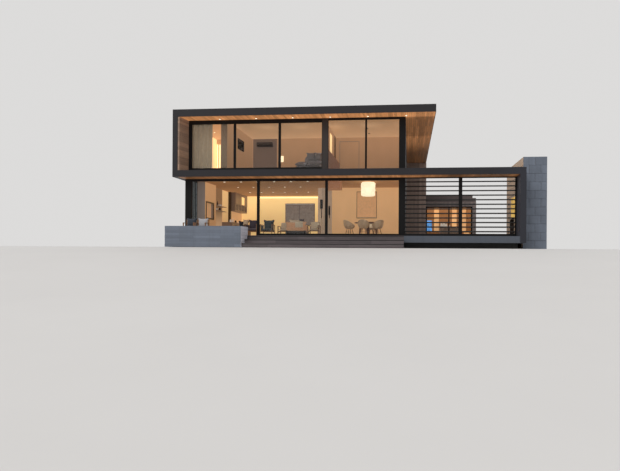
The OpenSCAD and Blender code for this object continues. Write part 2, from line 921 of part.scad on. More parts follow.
// walls round the bedroom, and the low wall in the room beside it
module upper_partitions() {
  near_y = room_y0 + wall_end_gap;
  back_y1 = upper_back_y + partition_t;
  color([0.84, 0.74, 0.62]) {
    plate(band_z, roof_under_z, [
      [upper_left_x, near_y], [bedroom_x0, near_y], [bedroom_x0, upper_back_y],
      [room_x1, upper_back_y], [room_x1, back_y1], [inner_x0, back_y1],
      [inner_x0, upper_back_y], [upper_left_x, upper_back_y]
    ]);
    block([bedroom_x1 - partition_t, near_y, band_z], [bedroom_x1, upper_back_y, roof_under_z]);
    block([bedroom_x1, near_y, band_z], [bedroom_x1 + ledge_t, upper_back_y, band_z + ledge_h]);
  }
}

module ceiling_box() {
  color([0.45, 0.33, 0.27])
  block([bulk_x0, bulk_y0, ceiling_z - bulk_h], [bulk_x0 + bulk_w, bulk_y0 + bulk_d, ceiling_z]);
}

module hearth_pier() {
  color([0.80, 0.66, 0.48])
  difference() {
    block([room_x0, slot_y1, floor_z], [pier_x1, pier_y1, ceiling_z]);
    block([pier_x1 - niche_d, niche_y[0], niche_z[0]], [pier_x1 + past, niche_y[1], niche_z[1]]);
  }
}

// base units, wall units with a row of open niches, two shelves beside the pier,
// and the counter in the wing
module kitchen_cabinets() {
  niche_w = (living_back_y - wall_unit_y0 - unit_niche_set * (unit_niche_n + 1)) / unit_niche_n;
  niche_z0 = wall_unit_z0 + unit_niche_set;
  unit_x1 = room_x0 + wall_unit_d;
  color([0.16, 0.14, 0.13]) {
    difference() {
      block([room_x0, wall_unit_y0, wall_unit_z0], [unit_x1, living_back_y, ceiling_z]);
      for (i = [0 : unit_niche_n - 1])
        translate([0, wall_unit_y0 + unit_niche_set + i * (niche_w + unit_niche_set), 0])
          block([unit_x1 - unit_niche_d, 0, niche_z0], [unit_x1 + past, niche_w, niche_z0 + unit_niche_h]);
    }
    block([room_x0, base_y0, floor_z], [room_x0 + base_d, living_back_y, floor_z + base_h]);
    for (z = shelf_zs)
      block([room_x0, pier_y1, z], [room_x0 + shelf_d, base_y0, z + shelf_t]);
    translate([roof_x1 + counter_x, house_d + counter_y, floor_z])
      cube([counter_l, counter_d, counter_h]);
  }
}

// drum lamp with eased ends, on a short rod
module pendant_lamp() {
  color([0.98, 0.92, 0.80])
  translate([lamp_x, lamp_y, lamp_z0]) {
    rotate_extrude($fn = 48)
      polygon([
        [0, 0], [lamp_end_r, 0], [lamp_r, lamp_ease],
        [lamp_r, lamp_h - lamp_ease], [lamp_end_r, lamp_h], [0, lamp_h]
      ]);
    translate([0, 0, lamp_h]) cylinder(r = cord_r, h = lamp_drop, $fn = 24);
  }
}

module dining_table() {
  under_z = table_h - table_top_t;
  color([0.22, 0.15, 0.11])
  translate([lamp_x, lamp_y, floor_z]) {
    translate([0, 0, under_z]) cylinder(r = table_r, h = table_top_t, $fn = 64);
    for (turn = [0 : 90 : 270])
      rotate([0, 0, turn])
        splayed_leg(table_r - table_leg_top, table_r - table_leg_foot, under_z, table_leg_r);
  }
}

// straight leg that leans outwards from r0 at the top to r1 on the floor, cut level at both ends
module splayed_leg(r0, r1, h, r) {
  lean = atan((r1 - r0) / h);
  intersection() {
    translate([r1, 0, 0]) rotate([0, -lean, 0])
      translate([0, 0, -h]) cylinder(r = r, h = 3 * h, $fn = 16);
    translate([0, -2 * r, 0]) cube([r1 + 4 * r, 4 * r, h]);
  }
}

// shell on four splayed legs; the rim falls from the back to the front, which faces +X
module shell_chair() {
  difference() {
    translate([0, 0, seat_h]) rotate_extrude($fn = 36)
      polygon([
        [0, 0], [pan_r, 0], [arm_r, arm_rise], [back_r, back_rise],
        [back_r - shell_t, back_rise], [arm_r - shell_t, arm_rise],
        [pan_r - shell_t, shell_t], [0, shell_t]
      ]);
    translate([0, 0, seat_h + rim_rise]) rotate([0, rim_tilt, 0])
      translate([-2 * back_r, -2 * back_r, 0]) cube([4 * back_r, 4 * back_r, 2 * back_rise]);
  }
  for (a = [45 : 90 : 315])
    rotate([0, 0, a]) splayed_leg(leg_top_r, leg_foot_r, seat_h, leg_r);
}

module dining_chairs() {
  color([0.85, 0.83, 0.78])
  for (c = chair_spots)
    translate([lamp_x + c[0], lamp_y + c[1], floor_z]) rotate([0, 0, c[2]]) shell_chair();
}

module living_sofa() {
  color([0.62, 0.48, 0.36])
  translate([sofa_x, sofa_y, floor_z]) {
    cube([sofa_w, sofa_back, sofa_h]);
    translate([sofa_arm, sofa_back, 0])
      cube([sofa_w - 2 * sofa_arm, sofa_d - sofa_back, sofa_seat_h]);
    for (x = [0, sofa_w - sofa_arm])
      translate([x, sofa_back, 0]) cube([sofa_arm, sofa_d - sofa_back, sofa_arm_h]);
  }
}

// easy chair on four splayed legs, open towards the front
module easy_chair() {
  seat_w = easy_w - 2 * easy_arm;
  leg_slope_r = easy_leg_set / 2;
  translate([easy_arm, 0, easy_leg_h]) cube([seat_w, easy_d - easy_back, easy_seat_h - easy_leg_h]);
  translate([0, easy_d - easy_back, easy_leg_h]) cube([easy_w, easy_back, easy_h - easy_leg_h]);
  for (x = [0, easy_w - easy_arm])
    translate([x, 0, easy_leg_h]) cube([easy_arm, easy_d - easy_back, easy_arm_h - easy_leg_h]);
  for (x = [0, 1])
    for (y = [0, 1])
      translate([
        x * (easy_w - 2 * easy_leg_set) + easy_leg_set,
        y * (easy_d - 2 * easy_leg_set) + easy_leg_set, 0
      ])
        rotate([0, 0, atan2(2 * y - 1, 2 * x - 1)])
          splayed_leg(0, leg_slope_r, easy_leg_h, easy_leg_r);
}

module armchairs() {
  color([0.18, 0.17, 0.17])
  for (i = [0 : 2]) translate([room_x0 + easy_xs[i], easy_ys[i], floor_z]) easy_chair();
}

// side of a lounge chair: a slanted frame of wooden bars, seen along X
module lounge_side() {
  rotate([90, 0, 90]) linear_extrude(height = lounge_bar)
    difference() {
      polygon([[60, 0], [lounge_d - 60, 0], [lounge_d, lounge_arm_z], [0, lounge_arm_z]]);
      polygon([
        [60 + lounge_bar, -past], [lounge_d - 60 - lounge_bar, -past],
        [lounge_d - lounge_bar, lounge_arm_z - lounge_bar], [lounge_bar, lounge_arm_z - lounge_bar]
      ]);
    }
}

module lounge_chair() {
  seat_w = lounge_w - 2 * lounge_bar;
  back_y = lounge_d - 2 * lounge_pad;
  lounge_side();
  translate([lounge_w - lounge_bar, 0, 0]) lounge_side();
  translate([lounge_bar, lounge_bar, lounge_seat_z]) cube([seat_w, back_y, lounge_pad]);
  translate([lounge_bar, back_y, lounge_seat_z]) rotate([-lounge_lean, 0, 0])
    cube([seat_w, lounge_pad, (lounge_h - lounge_seat_z) / cos(lounge_lean)]);
}

module lounge_chairs() {
  color([0.50, 0.33, 0.20])
  for (i = [0 : 1]) translate([room_x0 + lounge_xs[i], lounge_ys[i], floor_z]) lounge_chair();
}

// square-legged chair on the deck, open towards the front
module deck_chair() {
  translate([0, 0, deck_seat_z - deck_seat_t]) cube([deck_seat_w, deck_seat_d, deck_seat_t]);
  translate([0, deck_seat_d - deck_leg, deck_seat_z])
    cube([deck_seat_w, deck_leg, deck_seat_h - deck_seat_z]);
  for (x = [0, deck_seat_w - deck_leg])
    for (y = [0, deck_seat_d - deck_leg])
      translate([x, y, 0]) cube([deck_leg, deck_leg, deck_seat_z - deck_seat_t]);
}

module deck_chairs() {
  color([0.13, 0.15, 0.20])
  for (x = deck_seat_xs) translate([x, deck_seat_y, floor_z]) deck_chair();
}

module picture_board() {
  color([0.88, 0.80, 0.66])
  block([board_x, dining_back_y - board_t, board_z[0]], [board_x + board_w, dining_back_y, board_z[1]]);
}

module bedroom_screen() {
  color([0.10, 0.11, 0.12])
  block([bedroom_x0, bed_screen_y0, bed_screen_z0],
    [bedroom_x0 + screen_t, bed_screen_y0 + bed_screen_l, bed_screen_z0 + bed_screen_h]);
}

// screens on the back walls of the living room and of the wing
module living_screens() {
  wing_back_y = wing_y1 - wing_wall_t;
  color([0.20, 0.22, 0.24]) {
    block([living_screen_x, living_back_y - screen_t, living_screen_z0],
      [living_screen_x + living_screen_w, living_back_y, living_screen_z0 + living_screen_h]);
    block([wing_screen_x, wing_back_y - screen_t, wing_screen_z[0]],
      [wing_screen_x + wing_screen_w, wing_back_y, wing_screen_z[1]]);
  }
}

// slim unit with an eased lower front edge
module air_unit() {
  color([0.35, 0.37, 0.40])
  translate([air_x, 0, 0]) rotate([90, 0, 90]) linear_extrude(height = air_w)
    polygon([
      [upper_back_y, air_z[0]], [upper_back_y, air_z[1]], [upper_back_y - air_d, air_z[1]],
      [upper_back_y - air_d, air_z[0] + air_lip], [upper_back_y - air_d + air_lip, air_z[0]]
    ]);
}

// hanging curtain with wavy folds
module upper_curtain() {
  color([0.62, 0.60, 0.56])
  translate([curtain_x, curtain_y, band_z + curtain_gap])
    linear_extrude(height = roof_under_z - band_z - curtain_gap)
      polygon(concat(
        [for (i = [0 : fold_n]) [i * fold, (i % 2) * fold_d]],
        [for (i = [fold_n : -1 : 0]) [i * fold, (i % 2) * fold_d + curtain_t]]
      ));
}

// couch with a raised end
module bedroom_couch() {
  color([0.42, 0.42, 0.44])
  translate([couch_x, couch_y + couch_d, band_z]) rotate([90, 0, 0])
    linear_extrude(height = couch_d) polygon([
      [0, 0], [couch_w, 0], [couch_w, couch_h],
      [couch_seat_w + couch_slope_w, couch_h], [couch_seat_w, couch_seat_h], [0, couch_seat_h]
    ]);
}

roof_slab();
roof_soffit();
left_ribbon_wall();
left_reveal_lining();
floor_band();
band_soffit();
upper_floor();
right_ribbon_leg();
terrace_slab();
plinth();
ground_floor();
front_deck();
step_lower();
step_upper();
planter_box();
chimney_wall();
chimney_firebox();
screen_posts();
screen_blades_left();
screen_blades_right();
left_wall_lower();
side_wall_lower();
side_wall_upper();
rear_wall_lower();
rear_wall_upper();
timber_wall();
upper_window_frame();
upper_window_glass();
lower_window_frame();
lower_window_glass();
sliding_door_frame();
sliding_door_glass();
side_window_frames();
rear_window_frames();
side_window_glass();
wing_roof();
wing_walls();
lower_partitions();
upper_partitions();
ceiling_box();
hearth_pier();
kitchen_cabinets();
pendant_lamp();
dining_table();
dining_chairs();
living_sofa();
armchairs();
lounge_chairs();
deck_chairs();
picture_board();
bedroom_screen();
living_screens();
air_unit();
upper_curtain();
bedroom_couch();
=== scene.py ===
import json
import math
import random

import bpy
from bpy.props import FloatProperty, FloatVectorProperty, PointerProperty
from mathutils import Matrix, Vector

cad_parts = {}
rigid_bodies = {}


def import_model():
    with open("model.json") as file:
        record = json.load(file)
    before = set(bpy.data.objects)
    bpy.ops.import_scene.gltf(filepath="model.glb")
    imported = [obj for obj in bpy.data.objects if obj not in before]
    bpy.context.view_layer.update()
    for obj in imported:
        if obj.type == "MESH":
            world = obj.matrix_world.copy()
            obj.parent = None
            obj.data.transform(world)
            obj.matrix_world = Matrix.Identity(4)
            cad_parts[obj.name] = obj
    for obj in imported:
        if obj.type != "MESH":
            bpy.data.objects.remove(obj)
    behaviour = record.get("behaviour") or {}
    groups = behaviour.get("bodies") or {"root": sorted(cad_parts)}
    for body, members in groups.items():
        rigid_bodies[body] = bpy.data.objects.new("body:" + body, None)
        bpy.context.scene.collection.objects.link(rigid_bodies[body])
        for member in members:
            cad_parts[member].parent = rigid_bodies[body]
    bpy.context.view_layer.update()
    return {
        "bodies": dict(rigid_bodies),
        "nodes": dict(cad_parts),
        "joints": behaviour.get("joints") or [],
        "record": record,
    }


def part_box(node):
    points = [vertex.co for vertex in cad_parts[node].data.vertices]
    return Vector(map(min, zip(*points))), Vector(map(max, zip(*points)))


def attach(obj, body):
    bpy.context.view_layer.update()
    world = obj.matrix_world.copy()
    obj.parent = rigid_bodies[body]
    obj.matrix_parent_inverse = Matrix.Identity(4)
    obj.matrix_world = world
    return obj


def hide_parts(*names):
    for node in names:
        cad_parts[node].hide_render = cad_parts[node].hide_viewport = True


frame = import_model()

bl_info = {
    "name": "Beach House Finish",
    "version": (1, 0, 0),
    "blender": (4, 5, 0),
    "location": "View3D > Sidebar > Beach House",
    "description": "Builds the boards, blocks, fittings, furniture and finishes of the beach house",
    "category": "Add Mesh",
}

NODES = frame["nodes"]

# the camera stands in front of the house, a little below the ground under it
CAMERA_PLACE = (3.044, -24.081, -0.185)
CAMERA_TURN_LEFT = 5.698
CAMERA_ROLL = -0.00625
CAMERA_LENS = 30.19
CAMERA_SHIFT = (-0.0752, 0.0264)

# floor and ceiling heights of the rooms on each storey
LOW_ROOM = (0.57, 3.38)
UP_ROOM = (3.7, 6.275)

# rows of light fittings: the first one's X, their pitch along X, and the row's Y
ROOF_LIGHTS = (-6.2, 1.82, 0.62)
WING_LIGHTS = (4.77, 0.62, 14.6)

# window openings of the side and rear walls: their places along the wall, heads and sills
SIDE_LOW_SPAN = (5.4, 9.4)
SIDE_UP_SPAN = (5.2, 9.2)
REAR_SPANS = ((-6.5, -3.5), (-1.5, 1.5))
LOW_HEAD, UP_HEAD = 2.98, 6.075
SIDE_SILL, REAR_SILL = 4.3, 4.5

# thickness of the linings on the rooms' walls and ceilings
LINING = 0.012

# face of the back wall upstairs, and inner face of the rear walls
UP_BACK_Y = 5.1
REAR_FACE_Y = 13.75

UP = Vector((0, 0, 1))


# mesh helpers

def clear_selection():
    """Leaves edit mode and deselects every object."""
    if bpy.context.mode != "OBJECT":
        bpy.ops.object.mode_set(mode="OBJECT")
    bpy.ops.object.select_all(action="DESELECT")


def select_only(piece):
    """Makes one object the selected and active one."""
    clear_selection()
    piece.select_set(True)
    bpy.context.view_layer.objects.active = piece


def settle(piece):
    """Moves the object's place, turn and scale into its mesh."""
    select_only(piece)
    bpy.ops.object.transform_apply(location=True, rotation=True, scale=True)
    return piece


def edit_selected(piece, kind="FACE"):
    """Opens a piece in edit mode with the selection that its mesh already has."""
    select_only(piece)
    bpy.ops.object.mode_set(mode="EDIT")
    bpy.ops.mesh.select_mode(type=kind)


def edit(piece, select="SELECT", kind="FACE"):
    """Opens a piece in edit mode with all or none of its mesh selected."""
    edit_selected(piece, kind)
    bpy.ops.mesh.select_all(action=select)


def close_edit():
    bpy.ops.object.mode_set(mode="OBJECT")


def bar(low, high, ease=0.003):
    """A squared bar, board or block between two corners, with its edges eased."""
    low, high = Vector(low), Vector(high)
    clear_selection()
    bpy.ops.mesh.primitive_cube_add(size=1, location=(low + high) / 2)
    piece = bpy.context.object
    piece.scale = high - low
    settle(piece)
    if ease:
        edit(piece)
        bpy.ops.mesh.bevel(offset=ease, segments=1, affect="EDGES")
        close_edit()
    return piece


def grid(columns, rows):
    """A level sheet of unit size, split into columns and rows."""
    clear_selection()
    bpy.ops.mesh.primitive_grid_add(x_subdivisions=columns, y_subdivisions=rows, size=1)
    return bpy.context.object


def post(centre, radius, height, ease=0.0, sides=24):
    """An upright round bar that stands on its centre, with its rims eased."""
    clear_selection()
    middle = Vector(centre) + UP * (height / 2)
    bpy.ops.mesh.primitive_cylinder_add(vertices=sides, radius=radius, depth=height, location=middle)
    piece = settle(bpy.context.object)
    if ease:
        edit(piece, "DESELECT")
        close_edit()
        for face in piece.data.polygons:
            face.select = abs(face.normal.z) > 0.9
        edit_selected(piece)
        bpy.ops.mesh.bevel(offset=ease, segments=2, affect="EDGES")
        close_edit()
    return smoothed(piece)


def smoothed(piece, angle=35):
    select_only(piece)
    bpy.ops.object.shade_smooth_by_angle(angle=math.radians(angle))
    return piece


def apply_modifiers(piece):
    select_only(piece)
    for modifier in list(piece.modifiers):
        bpy.ops.object.modifier_apply(modifier=modifier.name)
    return piece


def thickened(piece, thick, offset):
    """Makes a sheet a shell. Offset puts its thickness outside at 1, inside at -1 and half each way at 0."""
    shell = piece.modifiers.new("Thickness", "SOLIDIFY")
    shell.thickness = thick
    shell.offset = offset
    return apply_modifiers(piece)


def repeat(piece, count, step):
    """Repeats a piece in a row and makes the row one mesh."""
    if count < 2:
        return piece
    row = piece.modifiers.new("Row", "ARRAY")
    row.use_relative_offset = False
    row.use_constant_offset = True
    row.constant_offset_displace = step
    row.count = count
    return apply_modifiers(piece)


def moved(piece, matrix):
    """Moves a piece's mesh by a matrix."""
    piece.data.transform(matrix)
    return piece


def twin(piece, matrix):
    """A copy with its own mesh, moved by a matrix."""
    copy = piece.copy()
    copy.data = piece.data.copy()
    bpy.context.scene.collection.objects.link(copy)
    return moved(copy, matrix)


def shifted(piece, step):
    return twin(piece, Matrix.Translation(Vector(step)))


def discard(piece):
    bpy.data.objects.remove(piece, do_unlink=True)


def joined(pieces):
    """Joins several meshes into the first one."""
    if len(pieces) == 1:
        return pieces[0]
    clear_selection()
    for piece in pieces:
        piece.select_set(True)
    bpy.context.view_layer.objects.active = pieces[0]
    bpy.ops.object.join()
    return pieces[0]


def prism(points, low_z, high_z, ease=0.0):
    """An upright prism between two heights, from the X and Y of its outline's points."""
    clear_selection()
    bpy.ops.mesh.primitive_circle_add(vertices=len(points), radius=1, fill_type="NGON")
    piece = bpy.context.object
    for vertex, (x, y) in zip(piece.data.vertices, points):
        vertex.co = (x, y, low_z)
    edit(piece)
    bpy.ops.mesh.extrude_region_move(TRANSFORM_OT_translate={"value": (0, 0, high_z - low_z)})
    bpy.ops.mesh.select_all(action="SELECT")
    bpy.ops.mesh.normals_make_consistent(inside=False)
    if ease:
        bpy.ops.mesh.bevel(offset=ease, segments=1, affect="EDGES")
    close_edit()
    return piece


def turned(profile, sides=32, smooth=True):
    """A shape turned round Z from its profile, given as radius and height from the axis outwards."""
    clear_selection()
    bpy.ops.mesh.primitive_circle_add(vertices=max(len(profile), 3), radius=1)
    piece = bpy.context.object
    links = [(i, i + 1) for i in range(len(profile) - 1)]
    piece.data.clear_geometry()
    piece.data.from_pydata([(r, 0, z) for r, z in profile], links, [])
    edit(piece, kind="VERT")
    bpy.ops.mesh.spin(steps=sides, angle=math.tau, axis=(0, 0, 1), center=(0, 0, 0))
    bpy.ops.mesh.select_all(action="SELECT")
    bpy.ops.mesh.remove_doubles(threshold=0.0002)
    bpy.ops.mesh.normals_make_consistent(inside=False)
    close_edit()
    if smooth:
        smoothed(piece)
    return piece


def window_ring(low, high, width, plane="y", ease=0.002):
    """Four bars round a rectangle that faces along one axis. The first pair runs past the second."""
    across, up = {"x": (1, 2), "y": (0, 2), "z": (0, 1)}[plane]
    inner_low, inner_high = list(low), list(high)
    inner_low[across] += width
    inner_high[across] -= width
    sides = []
    for corners, axis in (((low, high), across), ((inner_low, inner_high), up)):
        for side in (0, 1):
            start, end = (list(corner) for corner in corners)
            if side == 0:
                end[axis] = start[axis] + width
            else:
                start[axis] = end[axis] - width
            sides.append(bar(start, end, ease))
    return joined(sides)


def complete(made, name, finish, body="house", replaces=()):
    """Names a finished piece, gives it its finish and sets the body it rides on. A list is joined first."""
    piece = joined(made) if isinstance(made, list) else made
    piece.name = name
    piece.data.name = name
    piece.data.materials.clear()
    piece.data.materials.append(FINISHES[finish])
    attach(piece, body)
    if replaces:
        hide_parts(*replaces)
    return piece


def finish_nodes(names, material):
    """Gives CAD nodes a material."""
    for name in names:
        mesh = NODES[name].data
        mesh.materials.clear()
        mesh.materials.append(material)


def edges(node):
    """Low and high corner of a CAD node as one flat tuple."""
    low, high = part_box(node)
    return (*low, *high)


def heading(degrees):
    """The level direction at an angle from X."""
    angle = math.radians(degrees)
    return Vector((math.cos(angle), math.sin(angle), 0))


def row_places(row, count, height):
    """Places of the fittings in a row, from its first X, pitch and Y."""
    first, pitch, y = row
    return [(first + pitch * i, y, height) for i in range(count)]


def wall_holes(floor_z):
    """Openings of the lower and upper side wall and of the lower and upper rear wall."""
    side_low = [(*SIDE_LOW_SPAN, floor_z, LOW_HEAD)]
    side_up = [(*SIDE_UP_SPAN, SIDE_SILL, UP_HEAD)]
    rear_low = [(*span, floor_z, LOW_HEAD) for span in REAR_SPANS]
    rear_up = [(*span, REAR_SILL, UP_HEAD) for span in REAR_SPANS]
    return side_low, side_up, rear_low, rear_up


# shader helpers

def fill(tree, node, inputs):
    """Fills a node's inputs with values or links."""
    for key, value in inputs.items():
        socket = node.inputs[key]
        if isinstance(value, bpy.types.NodeSocket):
            tree.links.new(value, socket)
        else:
            socket.default_value = value
    return node


def put(tree, kind, inputs=None, **settings):
    """Adds a node, sets its options and fills its inputs."""
    node = tree.nodes.new(kind)
    for key, value in settings.items():
        setattr(node, key, value)
    return fill(tree, node, inputs or {})


def calc(tree, operation, first, second=0.0, third=0.0):
    """One step of arithmetic on values."""
    node = put(tree, "ShaderNodeMath", {0: first, 1: second, 2: third}, operation=operation)
    return node.outputs[0]


def blend_colours(tree, share, first, second):
    return put(tree, "ShaderNodeMix", {0: share, 6: first, 7: second}, data_type="RGBA").outputs[2]


def map_range(tree, value, low, high, new_low=0.0, new_high=1.0, smooth=True):
    inputs = {0: value, 1: low, 2: high, 3: new_low, 4: new_high}
    kind = "SMOOTHSTEP" if smooth else "LINEAR"
    return put(tree, "ShaderNodeMapRange", inputs, interpolation_type=kind).outputs[0]


def place(tree):
    return put(tree, "ShaderNodeTexCoord").outputs["Object"]


def facing(tree):
    """The surface's own direction as X, Y and Z."""
    return split(tree, put(tree, "ShaderNodeNewGeometry").outputs["Normal"])


def each_board(tree):
    """A random value for each separate board of a piece."""
    return put(tree, "ShaderNodeNewGeometry").outputs["Random Per Island"]


def split(tree, vector):
    return put(tree, "ShaderNodeSeparateXYZ", {0: vector}).outputs


def stretched(tree, vector, scale):
    return put(tree, "ShaderNodeMapping", {"Vector": vector, "Scale": scale}).outputs[0]


def mottle(tree, vector, scale, detail=4.0, rough=0.55):
    inputs = {"Vector": vector, "Scale": scale, "Detail": detail, "Roughness": rough}
    return put(tree, "ShaderNodeTexNoise", inputs).outputs[0]


def colour(value):
    return (*value, 1.0)


def shades(tree, share, dark, light):
    return blend_colours(tree, share, colour(dark), colour(light))


def varied(tree, share, tint, low, high):
    """A colour that runs between two multiples of a tint."""
    return shades(tree, share, Vector(tint) * low, Vector(tint) * high)


def marked(tree, base, mask, strength, mark):
    """A colour with another one laid over it where a mask says, up to a strength."""
    return blend_colours(tree, calc(tree, "MULTIPLY", mask, strength), base, colour(mark))


def scaled(tree, tint, share):
    """A colour socket made darker or lighter by a value."""
    return put(tree, "ShaderNodeVectorMath", {0: tint, "Scale": share}, operation="SCALE").outputs[0]


def relief(tree, height, strength, distance):
    inputs = {"Height": height, "Strength": strength, "Distance": distance}
    return put(tree, "ShaderNodeBump", inputs).outputs[0]


def new_group(name, inputs, outputs):
    """Starts a shared node group and returns its tree, input sockets and output node."""
    tree = bpy.data.node_groups.new(name, "ShaderNodeTree")
    for label, kind, default in inputs:
        socket = tree.interface.new_socket(label, in_out="INPUT", socket_type=kind)
        socket.default_value = default
    for label in outputs:
        tree.interface.new_socket(label, in_out="OUTPUT", socket_type="NodeSocketFloat")
    source = tree.nodes.new("NodeGroupInput")
    sink = tree.nodes.new("NodeGroupOutput")
    return tree, source.outputs, sink


def use_group(tree, name, inputs):
    node = put(tree, "ShaderNodeGroup", node_tree=bpy.data.node_groups[name])
    return fill(tree, node, inputs).outputs


def new_material(name, **constants):
    """A material with one Principled shader, and that shader's plain values."""
    material = bpy.data.materials.new(name)
    material.use_nodes = True
    tree = material.node_tree
    shader = tree.nodes["Principled BSDF"]
    for key, value in constants.items():
        shader.inputs[key.replace("_", " ").title().replace("Ior", "IOR")].default_value = value
    return material, tree, shader


def feed(tree, shader, **sockets):
    """Links values to the shader's inputs."""
    for key, socket in sockets.items():
        tree.links.new(socket, shader.inputs[key.replace("_", " ").title()])


# shared effects

VECTOR_IN = ("Vector", "NodeSocketVector", (0, 0, 0))


def make_grain_group():
    """Wood grain that runs where the stretch is smallest."""
    tree, given, sink = new_group(
        "Wood grain",
        [VECTOR_IN, ("Stretch", "NodeSocketVector", (1, 1, 1)), ("Seed", "NodeSocketFloat", 0.0)],
        ["Grain", "Pores"],
    )
    along = put(tree, "ShaderNodeVectorMath", {0: given["Vector"], 1: given["Stretch"]},
                operation="MULTIPLY").outputs[0]
    offset = put(tree, "ShaderNodeVectorMath", {0: along, 1: given["Seed"]}, operation="ADD").outputs[0]
    broad = mottle(tree, offset, 6.0, 5.0, 0.6)
    fine = mottle(tree, offset, 55.0, 3.0, 0.5)
    both = calc(tree, "MULTIPLY_ADD", fine, 0.35, calc(tree, "MULTIPLY", broad, 0.75))
    tree.links.new(both, sink.inputs["Grain"])
    tree.links.new(map_range(tree, fine, 0.35, 0.6), sink.inputs["Pores"])


def make_weather_group():
    """Rain streaks that run down a face, and soft blotches."""
    tree, given, sink = new_group("Weathering", [VECTOR_IN], ["Streaks", "Blotches"])
    down = stretched(tree, given["Vector"], (5.0, 5.0, 0.35))
    streaks = map_range(tree, mottle(tree, down, 1.0, 5.0, 0.65), 0.45, 0.75)
    tree.links.new(streaks, sink.inputs["Streaks"])
    tree.links.new(mottle(tree, given["Vector"], 1.3, 6.0, 0.6), sink.inputs["Blotches"])


def make_joint_group():
    """Thin joint lines at a pitch along each axis. A pitch of 1000 leaves an axis plain."""
    tree, given, sink = new_group(
        "Joint lines",
        [VECTOR_IN, ("Pitch", "NodeSocketVector", (1, 1, 1)), ("Width", "NodeSocketFloat", 0.01)],
        ["Line"],
    )
    spots = split(tree, given["Vector"])
    steps = split(tree, given["Pitch"])
    lines = []
    for axis in range(3):
        part = calc(tree, "PINGPONG", spots[axis], calc(tree, "MULTIPLY", steps[axis], 0.5))
        lines.append(calc(tree, "LESS_THAN", part, given["Width"]))
    both = calc(tree, "MAXIMUM", lines[0], lines[1])
    tree.links.new(calc(tree, "MAXIMUM", both, lines[2]), sink.inputs["Line"])


def make_course_group():
    """Staggered courses on any upright or level face: the joint lines, and a shade for each length."""
    tree, given, sink = new_group(
        "Staggered courses",
        [VECTOR_IN, ("Length", "NodeSocketFloat", 1.0), ("Rise", "NodeSocketFloat", 0.2),
         ("Joint", "NodeSocketFloat", 0.004)],
        ["Joints", "Shade"],
    )
    spot = split(tree, given["Vector"])
    up = calc(tree, "ABSOLUTE", facing(tree)[2])
    level = calc(tree, "GREATER_THAN", up, 0.7)
    across = calc(tree, "ADD", spot[0], calc(tree, "MULTIPLY", spot[1], calc(tree, "SUBTRACT", 1.0, level)))
    height = put(tree, "ShaderNodeMix", {0: level, 2: spot[2], 3: spot[1]}, data_type="FLOAT").outputs[0]
    flat = put(tree, "ShaderNodeCombineXYZ", {0: across, 1: height}).outputs[0]
    inputs = {"Vector": flat, "Color1": (0, 0, 0, 1), "Color2": (1, 1, 1, 1), "Mortar": (0.5, 0.5, 0.5, 1),
              "Scale": 1.0, "Mortar Size": given["Joint"], "Mortar Smooth": 0.1,
              "Brick Width": given["Length"], "Row Height": given["Rise"]}
    bricks = put(tree, "ShaderNodeTexBrick", inputs).outputs
    tree.links.new(bricks["Fac"], sink.inputs["Joints"])
    tree.links.new(bricks["Color"], sink.inputs["Shade"])


def make_weave_group():
    """Crossing threads of a woven cloth."""
    tree, given, sink = new_group("Weave", [VECTOR_IN, ("Threads", "NodeSocketFloat", 900.0)], ["Threads"])
    spot = split(tree, given["Vector"])
    slant = calc(tree, "ADD", spot[0], calc(tree, "MULTIPLY", spot[1], 0.83))
    warp = calc(tree, "SINE", calc(tree, "MULTIPLY", slant, given["Threads"]))
    weft = calc(tree, "SINE", calc(tree, "MULTIPLY", spot[2], given["Threads"]))
    both = calc(tree, "MULTIPLY_ADD", calc(tree, "MULTIPLY", warp, weft), 0.5, 0.5)
    tree.links.new(both, sink.inputs["Threads"])


def make_pool_group():
    """Round pools of light at a pitch along X and a place along Y, for fittings in a row."""
    tree, given, sink = new_group(
        "Light pools",
        [VECTOR_IN, ("First", "NodeSocketFloat", 0.0), ("Pitch", "NodeSocketFloat", 1.8),
         ("Line", "NodeSocketFloat", 0.6), ("Reach", "NodeSocketFloat", 0.5)],
        ["Pool"],
    )
    spot = split(tree, given["Vector"])
    half = calc(tree, "MULTIPLY", given["Pitch"], 0.5)
    near_x = calc(tree, "PINGPONG", calc(tree, "SUBTRACT", spot[0], given["First"]), half)
    near_y = calc(tree, "SUBTRACT", spot[1], given["Line"])
    square = calc(tree, "MULTIPLY_ADD", near_y, near_y, calc(tree, "MULTIPLY", near_x, near_x))
    far = calc(tree, "DIVIDE", calc(tree, "SQRT", square), given["Reach"])
    pool = calc(tree, "EXPONENT", calc(tree, "MULTIPLY", calc(tree, "MULTIPLY", far, far), -1.0))
    tree.links.new(pool, sink.inputs["Pool"])


def make_groups():
    make_grain_group()
    make_weather_group()
    make_joint_group()
    make_course_group()
    make_weave_group()
    make_pool_group()


# materials

FINISHES = {}


def make_each(maker, rows):
    """Makes a finish from each row: its key, and then what its maker takes."""
    for key, *values in rows:
        FINISHES[key] = maker(*values)


